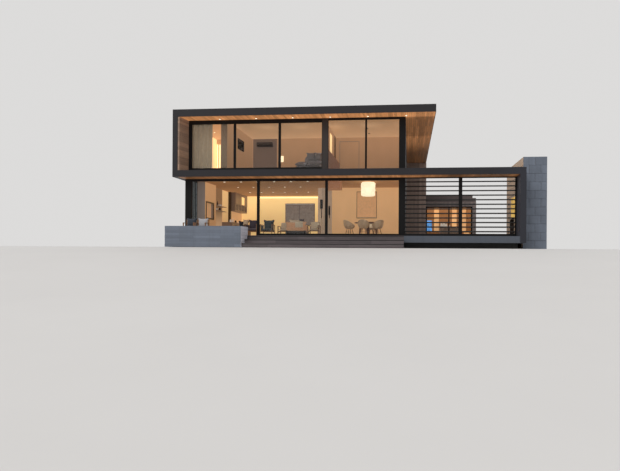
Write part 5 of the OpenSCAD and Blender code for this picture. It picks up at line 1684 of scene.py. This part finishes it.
class BEACH_OT_kitchen(bpy.types.Operator):
    """Pier with its framed panel, fronts of the dark cabinets, and the things on the shelves"""
    bl_idname = "beach.kitchen"
    bl_label = "Pier and kitchen"

    def execute(self, context):
        _, pier_y0, _, pier_x1, pier_y1, _ = edges("hearth_pier")
        x0, floor_z = edges("kitchen_cabinets")[0], edges("ground_floor")[5]
        y0, z0, y1, z1 = 1.8, 1.475, 2.9, 2.385
        rim = window_ring((pier_x1, y0, z0), (pier_x1 + 0.03, y1, z1), 0.075, "x", 0.004)
        complete(rim, "pier_frame", "dark_wood")
        pane = bar((pier_x1 - 0.15, y0, z0), (pier_x1 - 0.14, y1, z1), 0.001)
        complete(pane, "pier_panel", "canvas")
        base_x1, unit_x1, wall_x, top = x0 + 0.62, x0 + 0.37, x0 + 0.012, 3.36
        base_top, leaf, end_y, pitch, gap = floor_z + 0.9, 0.018, 8.8, 0.5525, 0.006
        counter_z = base_top + 0.03
        base = laid_boards((base_x1, 5.2, floor_z + 0.1), (base_x1 + leaf, end_y, base_top - 0.04),
                           2, 1, 0.6, gap)
        unit = laid_boards((unit_x1, 6.5, floor_z + 2.12), (unit_x1 + leaf, end_y, top), 2, 1, pitch, gap)
        counter = bar((x0, 5.19, base_top), (base_x1 + 0.03, end_y, counter_z), 0.004)
        complete([base, unit, counter], "kitchen_fronts", "cabinet_wood")
        splash = bar((wall_x, 5.2, counter_z), (x0 + 0.03, 8.78, floor_z + 1.67), 0.001)
        complete(splash, "kitchen_splashback", "dining_wall")
        strip = bar((wall_x, 5.25, counter_z), (x0 + 0.034, 6.2, top), 0.002)
        complete(strip, "lit_wall_strip", "lit_strip")
        display = bar((unit_x1 + leaf, 7.64, 2.72), (unit_x1 + 0.026, 8.16, 3.2), 0.001)
        complete(display, "display_bay", "back_wall")
        end_post = bar((wall_x, 6.2, counter_z), (x0 + 0.17, 6.36, top), 0.004)
        complete(end_post, "kitchen_end_post", "dark_wood")
        bay = bar((wall_x, 3.2, floor_z), (x0 + 0.02, 5.2, top), 0.001)
        complete(bay, "shelf_bay_wall", "shelf_bay")
        niche = (y0, y1, z0, z1)
        side = clad_face(pier_x1, pier_y0, pier_y1, floor_z, top, "x", 1, [niche], 3, 0.001, 0.008)
        complete(side, "pier_side_face", "pier_side")
        niches = [bar((x0 + 0.07, 6.59 + pitch * i, 2.345), (x0 + 0.075, 7.05 + pitch * i, 2.665), 0.001)
                  for i in range(4)]
        complete(niches, "niche_lights", "cove")
        self.things(x0, counter_z)
        return {"FINISHED"}

    def things(self, x0, counter_z):
        """Bowls, jars and bottles on the shelves, in the niches and on the counter."""
        jar = turned([(0, 0), (0.05, 0), (0.065, 0.03), (0.06, 0.12), (0.035, 0.16), (0.04, 0.18),
                      (0.0, 0.175)], 16)
        bowl = turned([(0, 0), (0.05, 0), (0.11, 0.07), (0.115, 0.08), (0.1, 0.075), (0.045, 0.015),
                       (0, 0.012)], 18)
        bottle = turned([(0, 0), (0.04, 0), (0.042, 0.16), (0.018, 0.21), (0.016, 0.27), (0, 0.27)], 14)
        shelf, low_shelf, niche = 2.355, 2.095, 2.34
        pale = [(jar, 0.15, 3.7, shelf), (bowl, 0.16, 4.5, shelf), (bowl, 0.16, 3.9, low_shelf),
                (bottle, 0.22, 6.75, niche), (jar, 0.22, 7.4, niche), (bowl, 0.2, 8.3, niche),
                (jar, 0.4, 5.6, counter_z), (bottle, 0.36, 6.1, counter_z), (bowl, 0.36, 7.2, counter_z),
                (jar, 0.36, 8.2, counter_z)]
        dark = [(bottle, 0.14, 4.15, shelf), (jar, 0.15, 4.5, low_shelf), (jar, 0.22, 7.9, niche),
                (bottle, 0.2, 8.5, niche), (jar, 0.36, 6.6, counter_z)]
        for name, finish, slot, pots in (("pale_pots", "white_goods", "shell_white", pale),
                                         ("dark_pots", "dark_goods", "dark_wood", dark)):
            complete([shifted(pot, (x0 + out, y, z)) for pot, out, y, z in pots], name, finish)
        for master in (jar, bowl, bottle):
            discard(master)


class BEACH_OT_dining(bpy.types.Operator):
    """Pendant lamp, dining table, shell chairs and the bare board on the wall"""
    bl_idname = "beach.dining"
    bl_label = "Dining room"

    CHAIRS = ((-0.873, -0.6, 35), (-0.138, -0.9, 81), (0.522, -0.6, 131), (0.1, 0.94, 264))

    def execute(self, context):
        x0, y0, z0, x1, y1, z1 = edges("pendant_lamp")
        middle = Vector(((x0 + x1) / 2, (y0 + y1) / 2, 0))
        floor_z = edges("ground_floor")[5]
        self.lamp(middle, z0, 3.35, z1, (x1 - x0) / 2)
        table_x0, _, _, table_x1, _, table_z = edges("dining_table")
        self.table(middle, floor_z, table_z, (table_x1 - table_x0) / 2)
        self.chairs(middle, floor_z)
        self.board()
        return {"FINISHED"}

    def lamp(self, middle, z0, z1, top, radius):
        """Crumpled paper shade over a frame of hoops."""
        rise = z1 - z0
        # the outline in shares of the radius and the rise
        profile = [(0.02, 0.0), (0.76, 0.0), (0.88, 0.05), (0.95, 0.2), (0.9, 0.24), (0.99, 0.45),
                   (0.94, 0.5), (1.0, 0.72), (0.95, 0.76), (0.93, 0.93), (0.8, 1.0), (0.1, 1.0)]
        shade = turned([(r * radius, z * rise) for r, z in profile], 18, False)
        rng = random.Random(4)
        for vertex in shade.data.vertices:
            if 0.05 < vertex.co.z < rise - 0.03:
                push = 1 + rng.uniform(-0.085, 0.012)
                vertex.co.x *= push
                vertex.co.y *= push
        moved(shade, Matrix.Translation(middle + UP * z0))
        smoothed(shade, 25)
        complete(shade, "pendant_shade", "lamp", replaces=("pendant_lamp",))
        hoops = []
        for height, reach in ((0.02, 0.7), (0.98, 0.74)):
            clear_selection()
            bpy.ops.mesh.primitive_torus_add(major_radius=radius * reach, minor_radius=0.006,
                                             major_segments=32, minor_segments=6,
                                             location=middle + UP * (z0 + height * rise))
            hoops.append(settle(bpy.context.object))
        rod = post(middle + UP * z1, 0.02, top - z1 - 0.014, 0, 12)
        rose = turned([(0, 0), (0.05, 0), (0.045, -0.02), (0, -0.02)], 20)
        moved(rose, Matrix.Translation(middle + UP * (top - 0.001)))
        complete([*hoops, rod, rose], "pendant_frame", "black")

    def table(self, middle, floor_z, top_z, radius):
        """Round timber top on four splayed legs."""
        thick = 0.04
        top = turned([(0, 0), (radius - 0.02, 0), (radius, 0.016), (radius, 0.032), (radius - 0.008, thick),
                      (0, thick)], 56)
        moved(top, Matrix.Translation(middle + UP * (top_z - thick)))
        legs = []
        for turn in (0, 90, 180, 270):
            way = heading(turn)
            legs.append(splayed_leg(middle + way * 0.38 + UP * (top_z - thick),
                                    middle + way * 0.44 + UP * floor_z, 0.046, 0.034, 16))
        complete([top, *legs], "dining_table_timber", "table_wood", replaces=("dining_table",))

    def chairs(self, middle, floor_z):
        """Moulded shells with a cut rim, on timber legs."""
        seat_z = 0.4
        shell = turned([(0, 0), (0.12, 0.0), (0.19, 0.012), (0.245, 0.07), (0.29, 0.18), (0.315, 0.43)], 40)
        edit(shell)
        level = math.radians(30)
        bpy.ops.mesh.bisect(plane_co=(0, 0, 0.245), plane_no=(math.sin(level), 0, math.cos(level)),
                            clear_outer=True)
        close_edit()
        thickened(shell, 0.014, -1)
        smoothed(shell, 50)
        legs = []
        for turn in (45, 135, 225, 315):
            legs.append(splayed_leg(heading(turn) * 0.12 + UP * seat_z, heading(turn) * 0.245, 0.017, 0.012))
        for turn in (45, 135):
            way = heading(turn) * 0.17
            legs.append(splayed_leg(way + UP * 0.23, -way + UP * 0.23, 0.006, 0.006, 8))
        under = joined(legs)
        lining = twin(shell, Matrix.Translation((0, 0, 0.008)) @ Matrix.Diagonal((0.95, 0.95, 0.99, 1)))
        shells, linings, frames, seats = [], [], [], []
        for dx, dy, turn in self.CHAIRS:
            spin = Matrix.Rotation(math.radians(turn), 4, "Z")
            spot = Matrix.Translation(middle + Vector((dx, dy, floor_z))) @ spin
            raised = spot @ Matrix.Translation(UP * seat_z)
            shells.append(twin(shell, raised))
            linings.append(twin(lining, raised))
            frames.append(twin(under, spot))
            seat = cushion((-0.17, -0.17, 0.402), (0.17, 0.17, 0.445))
            seats.append(moved(seat, spot))
        for master in (shell, lining, under):
            discard(master)
        # the darker shells and the pale linings give painted shade outside and the lit tone inside
        complete(shells, "dining_chair_shells", "shell", replaces=("dining_chairs",))
        complete(linings, "dining_chair_linings", "shell_lining")
        complete(frames, "dining_chair_legs", "furniture_wood")
        padded(seats, "dining_chair_pads", "cream_cloth")

    def board(self):
        """Bare board in a thin frame with a ledge."""
        x0, y0, z0, x1, y1, z1 = edges("picture_board")
        panel = bar((x0 + 0.02, y0 + 0.012, z0 + 0.03), (x1 - 0.02, y1, z1 - 0.02), 0.001)
        complete(panel, "bare_board", "canvas", replaces=("picture_board",))
        rim = window_ring((x0, y0, z0), (x1, y1, z1), 0.026, "y", 0.002)
        complete(rim, "board_frame", "frame_wood")
        ledge = bar((x0 + 0.026, y0 - 0.02, z0 + 0.026), (x1 - 0.026, y1, z0 + 0.05), 0.002)
        complete(ledge, "board_ledge", "cream_paint")


class BEACH_OT_living(bpy.types.Operator):
    """Sofa, armchairs, lounge chairs, screens and stands of the living room"""
    bl_idname = "beach.living"
    bl_label = "Living room"

    # front left corners of the armchairs and lounge chairs
    EASY = ((-4.465, 1.6), (-5.21, 1.45), (-6.08, 2.45))
    LOUNGE = ((-3.7, 2.25), (-1.97, 1.42))

    def execute(self, context):
        floor_z = edges("ground_floor")[5]
        self.sofa(*edges("living_sofa"))
        self.armchairs(floor_z)
        self.lounge_chairs(floor_z)
        self.screens(*edges("living_screens")[:3])
        self.stands(floor_z)
        return {"FINISHED"}

    def sofa(self, x0, y0, z0, x1, y1, z1):
        """Sofa with its back to the windows, a long cushion, a dark pillow and a throw."""
        back, arm, seat_z = 0.2, 0.15, z0 + 0.42
        base = bar((x0 + 0.02, y0 + 0.03, z0 + 0.09), (x1 - 0.02, y1 - 0.02, z0 + 0.3), 0.02)
        feet = [post((x, y, z0), 0.022, 0.1, 0.003, 12) for x in (x0 + 0.08, x1 - 0.08)
                for y in (y0 + 0.1, y1 - 0.08)]
        complete([base, *feet], "sofa_base", "dark_wood")
        middle = (x0 + x1) / 2
        soft = [cushion((x0, y0, z0 + 0.2), (x1, y0 + back, z1)),
                cushion((x0, y0 + 0.06, z0 + 0.16), (x0 + arm + 0.02, y1, z0 + 0.6)),
                cushion((x1 - arm - 0.02, y0 + 0.06, z0 + 0.16), (x1, y1, z0 + 0.6)),
                cushion((x0 + arm, y0 + back, seat_z - 0.15), (middle, y1, seat_z + 0.01)),
                cushion((middle, y0 + back, seat_z - 0.15), (x1 - arm, y1, seat_z + 0.01)),
                cushion((x0 + arm, y0 + back - 0.03, seat_z), (middle, y0 + back + 0.13, z1 - 0.01), -8),
                cushion((middle, y0 + back - 0.03, seat_z), (x1 - arm, y0 + back + 0.13, z1 - 0.01), -8)]
        padded(soft, "sofa_upholstery", "sofa_cloth", ("living_sofa",))
        pale = cushion((x0 + 0.16, y0 + 0.16, z1 - 0.26), (x0 + 0.72, y0 + 0.34, z1 + 0.12), -10)
        padded(pale, "long_pillow", "cream_cloth")
        dark = cushion((x1 - 0.42, y0 + 0.18, z1 - 0.22), (x1 - 0.16, y0 + 0.34, z1 + 0.16), -12)
        padded(dark, "dark_pillow", "plum_cloth")
        path = [(y0 - 0.022, z1 - 0.3), (y0 - 0.02, z1 - 0.02), (y0 + 0.03, z1 + 0.012),
                (y0 + 0.16, z1 + 0.012), (y0 + 0.24, z1 - 0.05), (y0 + 0.3, z1 - 0.26)]
        throw, length = draped(path, x1 - 0.55, x1 - 0.16, 0.012, 0.008, 3)
        complete(throw, "sofa_throw", "cream_cloth")

    def armchairs(self, floor_z):
        """Upholstered armchairs with timber arms and splayed legs."""
        wide, deep, tall, seat, rail = 0.65, 0.7, 0.88, 0.4, 0.61
        timber = []
        for x in (0.0, wide - 0.05):
            timber.append(bar((x, 0.0, rail - 0.03), (x + 0.05, deep - 0.08, rail), 0.008))
            for y, lean in ((0.06, -0.04), (deep - 0.1, 0.05)):
                leg_x = x + 0.025
                timber.append(splayed_leg((leg_x, y, rail - 0.02), (leg_x, y + lean, 0), 0.022, 0.015))
        for y in (0.05, deep - 0.14):
            timber.append(bar((0.04, y, 0.23), (wide - 0.04, y + 0.04, 0.27), 0.006))
        frame = joined(timber)
        frames = []
        covers = ("teal_cloth", "plum_cloth", "navy_cloth")
        for number, ((x, y), cover) in enumerate(zip(self.EASY, covers), start=1):
            spot = Matrix.Translation((x, y, floor_z))
            soft = [cushion((0.05, 0, 0.25), (wide - 0.05, deep - 0.12, seat + 0.01)),
                    cushion((0.04, deep - 0.17, 0.26), (wide - 0.04, deep - 0.01, tall), -5)]
            soft += [cushion((side, 0.04, 0.26), (side + 0.06, deep - 0.12, rail - 0.03))
                     for side in (0.03, wide - 0.09)]
            pads = moved(joined(soft), spot)
            stands_for = ("armchairs",) if number == 1 else ()
            padded(pads, f"armchair_{number}_pads", cover, stands_for)
            frames.append(twin(frame, spot))
        discard(frame)
        complete(frames, "armchair_frames", "furniture_wood")
        x, y = self.EASY[2]
        pillow = cushion((x + 0.34, y + 0.38, floor_z + 0.62), (x + 0.64, y + 0.54, floor_z + 0.94), -10, 8)
        padded(pillow, "armchair_pillow", "cream_cloth")

    def lounge_chairs(self, floor_z):
        """Slatted timber chairs with a pad and a throw over the back."""
        wide, deep, side, seat, arm, lean = 0.56, 0.72, 0.045, 0.3, 0.56, math.radians(20)
        timber = []
        for x in (0, wide - side):
            timber += [bar((x, 0, 0), (x + side, side, arm), 0.005),
                       bar((x, deep - 0.12, 0), (x + side, deep - 0.12 + side, arm), 0.005),
                       bar((x, 0, arm - 0.03), (x + side, deep - 0.06, arm), 0.008),
                       bar((x, side, seat - 0.05), (x + side, deep - 0.12, seat), 0.005)]
        timber += [bar((side, 0.06 + 0.088 * i, seat - 0.03), (wide - side, 0.12 + 0.088 * i, seat), 0.004)
                   for i in range(5)]
        rise = (0.74 - seat) / math.cos(lean)
        slats = [bar((x + 0.01, 0.02, 0), (x + 0.065, 0.045, rise - 0.03), 0.004)
                 for x in (side + 0.094 * i for i in range(5))]
        slats.append(bar((side - 0.005, 0.0, rise - 0.05), (wide - side + 0.005, 0.045, rise), 0.006))
        back = moved(joined(slats), Matrix.Translation((0, 0.5, seat)) @ Matrix.Rotation(-lean, 4, "X"))
        frame = joined([*timber, back])
        frames, pads = [], []
        for number, (x, y) in enumerate(self.LOUNGE):
            spot = Matrix.Translation((x, y, floor_z))
            frames.append(twin(frame, spot))
            pads.append(moved(cushion((side, 0.02, seat), (wide - side, 0.56, seat + 0.12)), spot))
            top_y, top_z = y + 0.5 + math.sin(lean) * rise, floor_z + 0.74
            path = [(top_y - 0.16, top_z - 0.3), (top_y - 0.05, top_z - 0.02), (top_y - 0.01, top_z + 0.014),
                    (top_y + 0.06, top_z + 0.01), (top_y + 0.085, top_z - 0.08), (top_y + 0.07, top_z - 0.3)]
            throw, length = draped(path, x + 0.06, x + wide - 0.06, 0.014, 0.008, 5 + number)
            complete(throw, f"lounge_throw_{number + 1}", "cream_cloth")
        discard(frame)
        complete(frames, "lounge_chair_frames", "furniture_wood", replaces=("lounge_chairs",))
        padded(pads, "lounge_chair_pads", "cream_cloth")

    def screens(self, x0, y0, z0):
        """Two dark panels under a pale head strip."""
        x1, y1, z1 = -2.93, 8.788, 2.9
        middle = x0 + (x1 - x0) * 0.48
        backing = bar((x0, y0 + 0.02, z0), (x1, y1, z1))
        complete(backing, "screen_backing", "dark_wood", replaces=("living_screens",))
        panes = [bar((left, y0, z0 + 0.02), (right, y0 + 0.02, z1 - 0.09))
                 for left, right in ((x0 + 0.02, middle - 0.012), (middle + 0.012, x1 - 0.02))]
        complete(panes, "screen_panels", "living_screen")
        strip = bar((x0 + 0.02, y0 + 0.004, z1 - 0.07), (x1 - 0.02, y0 + 0.02, z1 - 0.02), 0.002)
        complete(strip, "screen_head_strip", "white_goods")

    def stands(self, floor_z):
        """Two slim stands in front of the end wall."""
        legs, heads = [], []
        for x, y, tall, head in ((-1.72, 4.1, 2.1, 0.075), (-1.3, 4.2, 1.75, 0.05)):
            for turn in (90, 210, 330):
                foot = Vector((x, y, floor_z)) + heading(turn) * 0.26
                legs.append(splayed_leg((x, y, floor_z + 1.1), foot, 0.016, 0.013))
            heads.append(post((x, y, floor_z + 1.08), 0.02, tall - 1.5, 0.002, 14))
            heads.append(post((x, y, floor_z + tall - 0.5), head, 0.5, 0.006, 20))
        complete(legs, "stand_legs", "cream_paint")
        complete(heads, "stand_heads", "black")


class BEACH_OT_deck_chairs(bpy.types.Operator):
    """Two padded chairs behind the planter"""
    bl_idname = "beach.deck_chairs"
    bl_label = "Deck chairs"

    def execute(self, context):
        x_low, y0, z0, x_high, y1, z1 = edges("deck_chairs")
        wide, seat, foot = 0.56, z0 + 0.4, 0.045
        rail_z, brace_z0, brace_z1 = seat + 0.19, seat - 0.1, seat - 0.05
        chairs = ((x_low, "navy_cloth", "dark_fabric", ("deck_chairs",)),
                  (x_high - wide, "pale_grey_cloth", "canvas", ()))
        timber = []
        for number, (x0, cover, slot, stands_for) in enumerate(chairs, start=1):
            x1 = x0 + wide
            for x in (x0, x1 - foot):
                timber += [bar((x, y0, z0), (x + foot, y0 + foot, rail_z), 0.005),
                           bar((x, y1 - foot, z0), (x + foot, y1, z1 - 0.06), 0.005),
                           bar((x, y0, rail_z), (x + foot, y1 - 0.02, seat + 0.22), 0.006),
                           bar((x, y0 + foot, brace_z0), (x + foot, y1 - foot, brace_z1), 0.005)]
            timber += [bar((x0 + foot, y, brace_z0), (x1 - foot, y + 0.03, brace_z1), 0.005)
                       for y in (y0 + 0.01, y1 - 0.04)]
            soft = [cushion((x0 + foot, y0, seat - 0.06), (x1 - foot, y1 - 0.06, seat + 0.07)),
                    cushion((x0 + 0.02, y1 - 0.14, seat + 0.02), (x1 - 0.02, y1, z1), -3)]
            padded(soft, f"deck_chair_{number}_pads", cover, stands_for)
        complete(timber, "deck_chair_frames", "furniture_wood")
        return {"FINISHED"}


class BEACH_OT_bedroom(bpy.types.Operator):
    """Curtain, couch, wall screen and air unit of the upper floor"""
    bl_idname = "beach.bedroom"
    bl_label = "Upper rooms"

    def execute(self, context):
        self.curtain(*edges("upper_curtain"))
        self.couch(*edges("bedroom_couch"))
        self.fittings()
        return {"FINISHED"}

    def curtain(self, x0, y0, z0, x1, y1, z1):
        """Curtain that hangs in soft folds from a rail."""
        folds, top, thick = 9, z1 - 0.03, 0.003
        wide, deep = x1 - x0, (y1 - y0 - 0.006) / 2
        swing, steps = deep * 0.92, folds * 10
        piece = grid(steps, 16)
        rng = random.Random(11)
        sway = [rng.uniform(-0.5, 0.5) for _ in range(folds + 1)]
        for vertex in piece.data.vertices:
            along, up = vertex.co.x + 0.5, vertex.co.y + 0.5
            fold = sway[min(int(along * folds), folds)] * (1 - up) * 0.25
            wave = swing * math.sin(along * folds * math.pi + fold)
            vertex.co = (x0 + along * wide, y0 + deep + thick + wave, z0 + up * (top - z0))
        thickened(piece, thick, 0)
        bpy.ops.object.shade_smooth()
        complete(piece, "curtain_cloth", "curtain_cloth", replaces=("upper_curtain",))
        middle = (y0 + y1) / 2
        rail = bar((x0, middle - 0.015, z1 - 0.03), (x1 + 0.02, middle + 0.015, z1 - 0.013), 0.002)
        complete(rail, "curtain_rail", "black")

    def couch(self, x0, y0, z0, x1, y1, z1):
        """Stepped couch made of a base and stacked pads."""
        low_x, tall_x = x0 + 0.46, x0 + 0.62
        base = bar((x0 + 0.03, y0 + 0.03, z0), (x1 - 0.02, y1 - 0.02, z0 + 0.45), 0.02)
        complete(base, "couch_base", "couch_cloth")
        middle = (tall_x + x1) / 2
        soft = [cushion((x0, y0, z0 + 0.38), (low_x + 0.16, y1, z0 + 0.75)),
                cushion((low_x - 0.02, y0 + 0.02, z0 + 0.5), (tall_x + 0.3, y1 - 0.02, z0 + 1.02)),
                cushion((tall_x - 0.1, y0, z0 + 0.42), (x1, y1, z0 + 0.85)),
                cushion((tall_x - 0.06, y0, z0 + 0.74), (middle + 0.03, y0 + 0.3, z1 + 0.02), -3),
                cushion((middle, y0, z0 + 0.74), (x1, y0 + 0.3, z1 + 0.02), -3),
                cushion((tall_x - 0.04, y0 + 0.2, z0 + 0.72), (x1, y1 - 0.01, z1 - 0.04))]
        padded(soft, "couch_pads", "couch_cloth", ("bedroom_couch",))

    def fittings(self):
        """Wall screen, air unit with its louvre, and a small pale lamp."""
        x0, y0, z0, x1, y1, z1 = edges("bedroom_screen")
        face = bar((x0 + 0.01, y0 + 0.02, z0 + 0.02), (x1 + 0.004, y1 - 0.02, z1 - 0.02), 0.002)
        complete(face, "bedroom_screen_face", "screen")
        x0, y0, z0, x1, y1, z1 = edges("air_unit")
        blade = bar((x0 + 0.04, y0 - 0.006, z0 + 0.03), (x1 - 0.04, y0 + 0.004, z0 + 0.04), 0.001)
        complete(repeat(blade, 3, (0, 0, 0.022)), "air_unit_louvre", "black")
        left, right, foot, head, rim = -4.25, -4.1, 4.93, 5.27, 0.015
        plate = bar((left, UP_BACK_Y - rim, foot), (right, UP_BACK_Y, head), 0.004)
        cover = bar((left + rim, UP_BACK_Y - 0.05, foot + 2 * rim),
                    (right - rim, UP_BACK_Y - 0.014, head - 2 * rim), 0.01)
        complete([plate, cover], "bedroom_wall_light", "lamp")


class BEACH_OT_wing(bpy.types.Operator):
    """Ceiling, amber blinds, screen and counter of the rear wing, and the lit strip on the chimney"""
    bl_idname = "beach.wing"
    bl_label = "Rear wing"

    def execute(self, context):
        x0 = edges("roof_slab")[3]
        _, _, _, x1, y1, top = edges("wing_walls")
        floor_z, wall = edges("ground_floor")[5], 0.2
        room_y0, room_x1, room_y1 = 14.1, x1 - wall, y1 - wall
        skin_x1, skin_y1, ceiling_z = room_x1 - LINING, room_y1 - LINING, top - LINING
        ceiling = bar((x0, REAR_FACE_Y, ceiling_z), (room_x1, room_y1, top), 0.001)
        complete(ceiling, "wing_ceiling", "wing_ceiling")
        lining = [bar((x0, skin_y1, floor_z), (room_x1, room_y1, ceiling_z), 0.001),
                  bar((skin_x1, room_y0, floor_z), (room_x1, skin_y1, ceiling_z), 0.001),
                  bar((x0, room_y0, floor_z), (x0 + LINING, skin_y1, ceiling_z), 0.001)]
        complete(lining, "wing_lining", "wing_wall")
        blinds = [bar((left, 15.49, 1.35), (right, 15.51, ceiling_z))
                  for left, right in ((4.95, 5.31), (6.28, 6.62), (6.84, 7.32))]
        complete(blinds, "wing_blinds", "amber_panel")
        lamps = row_places(WING_LIGHTS, 5, ceiling_z)
        downlights("wing_downlights", lamps, context.scene.house_look.spot_radius)
        screen = bar((4.33, 17.45, 1.5), (4.87, 17.48, 2.33), 0.004)
        complete(screen, "wing_screen_face", "blue_screen")
        counter_z = floor_z + 1.13
        counter = laid_boards((5.35, 14.98, floor_z + 0.06), (6.72, 15.0, floor_z + 1.06),
                              2, 0, 0.343, 0.006)
        top_board = bar((5.33, 14.97, floor_z + 1.1), (6.74, 15.6, counter_z), 0.004)
        complete([counter, top_board], "wing_counter_fronts", "cabinet_wood")
        jar = turned([(0, 0), (0.07, 0), (0.09, 0.06), (0.08, 0.2), (0.05, 0.26), (0.055, 0.3),
                      (0.0, 0.29)], 18)
        pots = [twin(jar, Matrix.Translation((x, 15.25, counter_z)) @ Matrix.Scale(size, 4))
                for x, size in ((5.47, 1.0), (5.66, 1.3), (5.84, 0.9), (6.05, 0.7))]
        discard(jar)
        complete(pots, "wing_pots", "white_goods")
        strip = bar((7.2, 15.95, floor_z), (skin_x1, 16.0, floor_z + 0.75), 0.004)
        complete(strip, "wing_low_light", "amber_panel")
        chimney_x0 = edges("chimney_wall")[0]
        lit = bar((chimney_x0 - 0.006, 2.95, 1.62), (chimney_x0 + 0.004, 3.9, 2.67), 0.002)
        complete(lit, "chimney_lit_strip", "amber_strip")
        return {"FINISHED"}


OPERATORS = [
    BEACH_OT_stage, BEACH_OT_base_finishes, BEACH_OT_linings, BEACH_OT_decking, BEACH_OT_planter,
    BEACH_OT_chimney, BEACH_OT_roof, BEACH_OT_cladding, BEACH_OT_windows, BEACH_OT_rooms,
    BEACH_OT_kitchen, BEACH_OT_dining, BEACH_OT_living, BEACH_OT_deck_chairs, BEACH_OT_bedroom,
    BEACH_OT_wing,
]


class BEACH_PT_panel(bpy.types.Panel):
    """Lists the values and the steps that finish the house"""
    bl_label = "Beach House"
    bl_idname = "BEACH_PT_panel"
    bl_space_type = "VIEW_3D"
    bl_region_type = "UI"
    bl_category = "Beach House"

    def draw(self, context):
        look = context.scene.house_look
        for name in HouseLook.__annotations__:
            self.layout.prop(look, name)
        for operator in OPERATORS:
            self.layout.operator(operator.bl_idname)


CLASSES = [HouseLook, *OPERATORS, BEACH_PT_panel]


def register():
    for item in CLASSES:
        bpy.utils.register_class(item)
    bpy.types.Scene.house_look = PointerProperty(type=HouseLook)


def unregister():
    del bpy.types.Scene.house_look
    for item in reversed(CLASSES):
        bpy.utils.unregister_class(item)


def main():
    register()
    for operator in OPERATORS:
        group, name = operator.bl_idname.split(".")
        getattr(getattr(bpy.ops, group), name)()


if __name__ == "__main__":
    main()
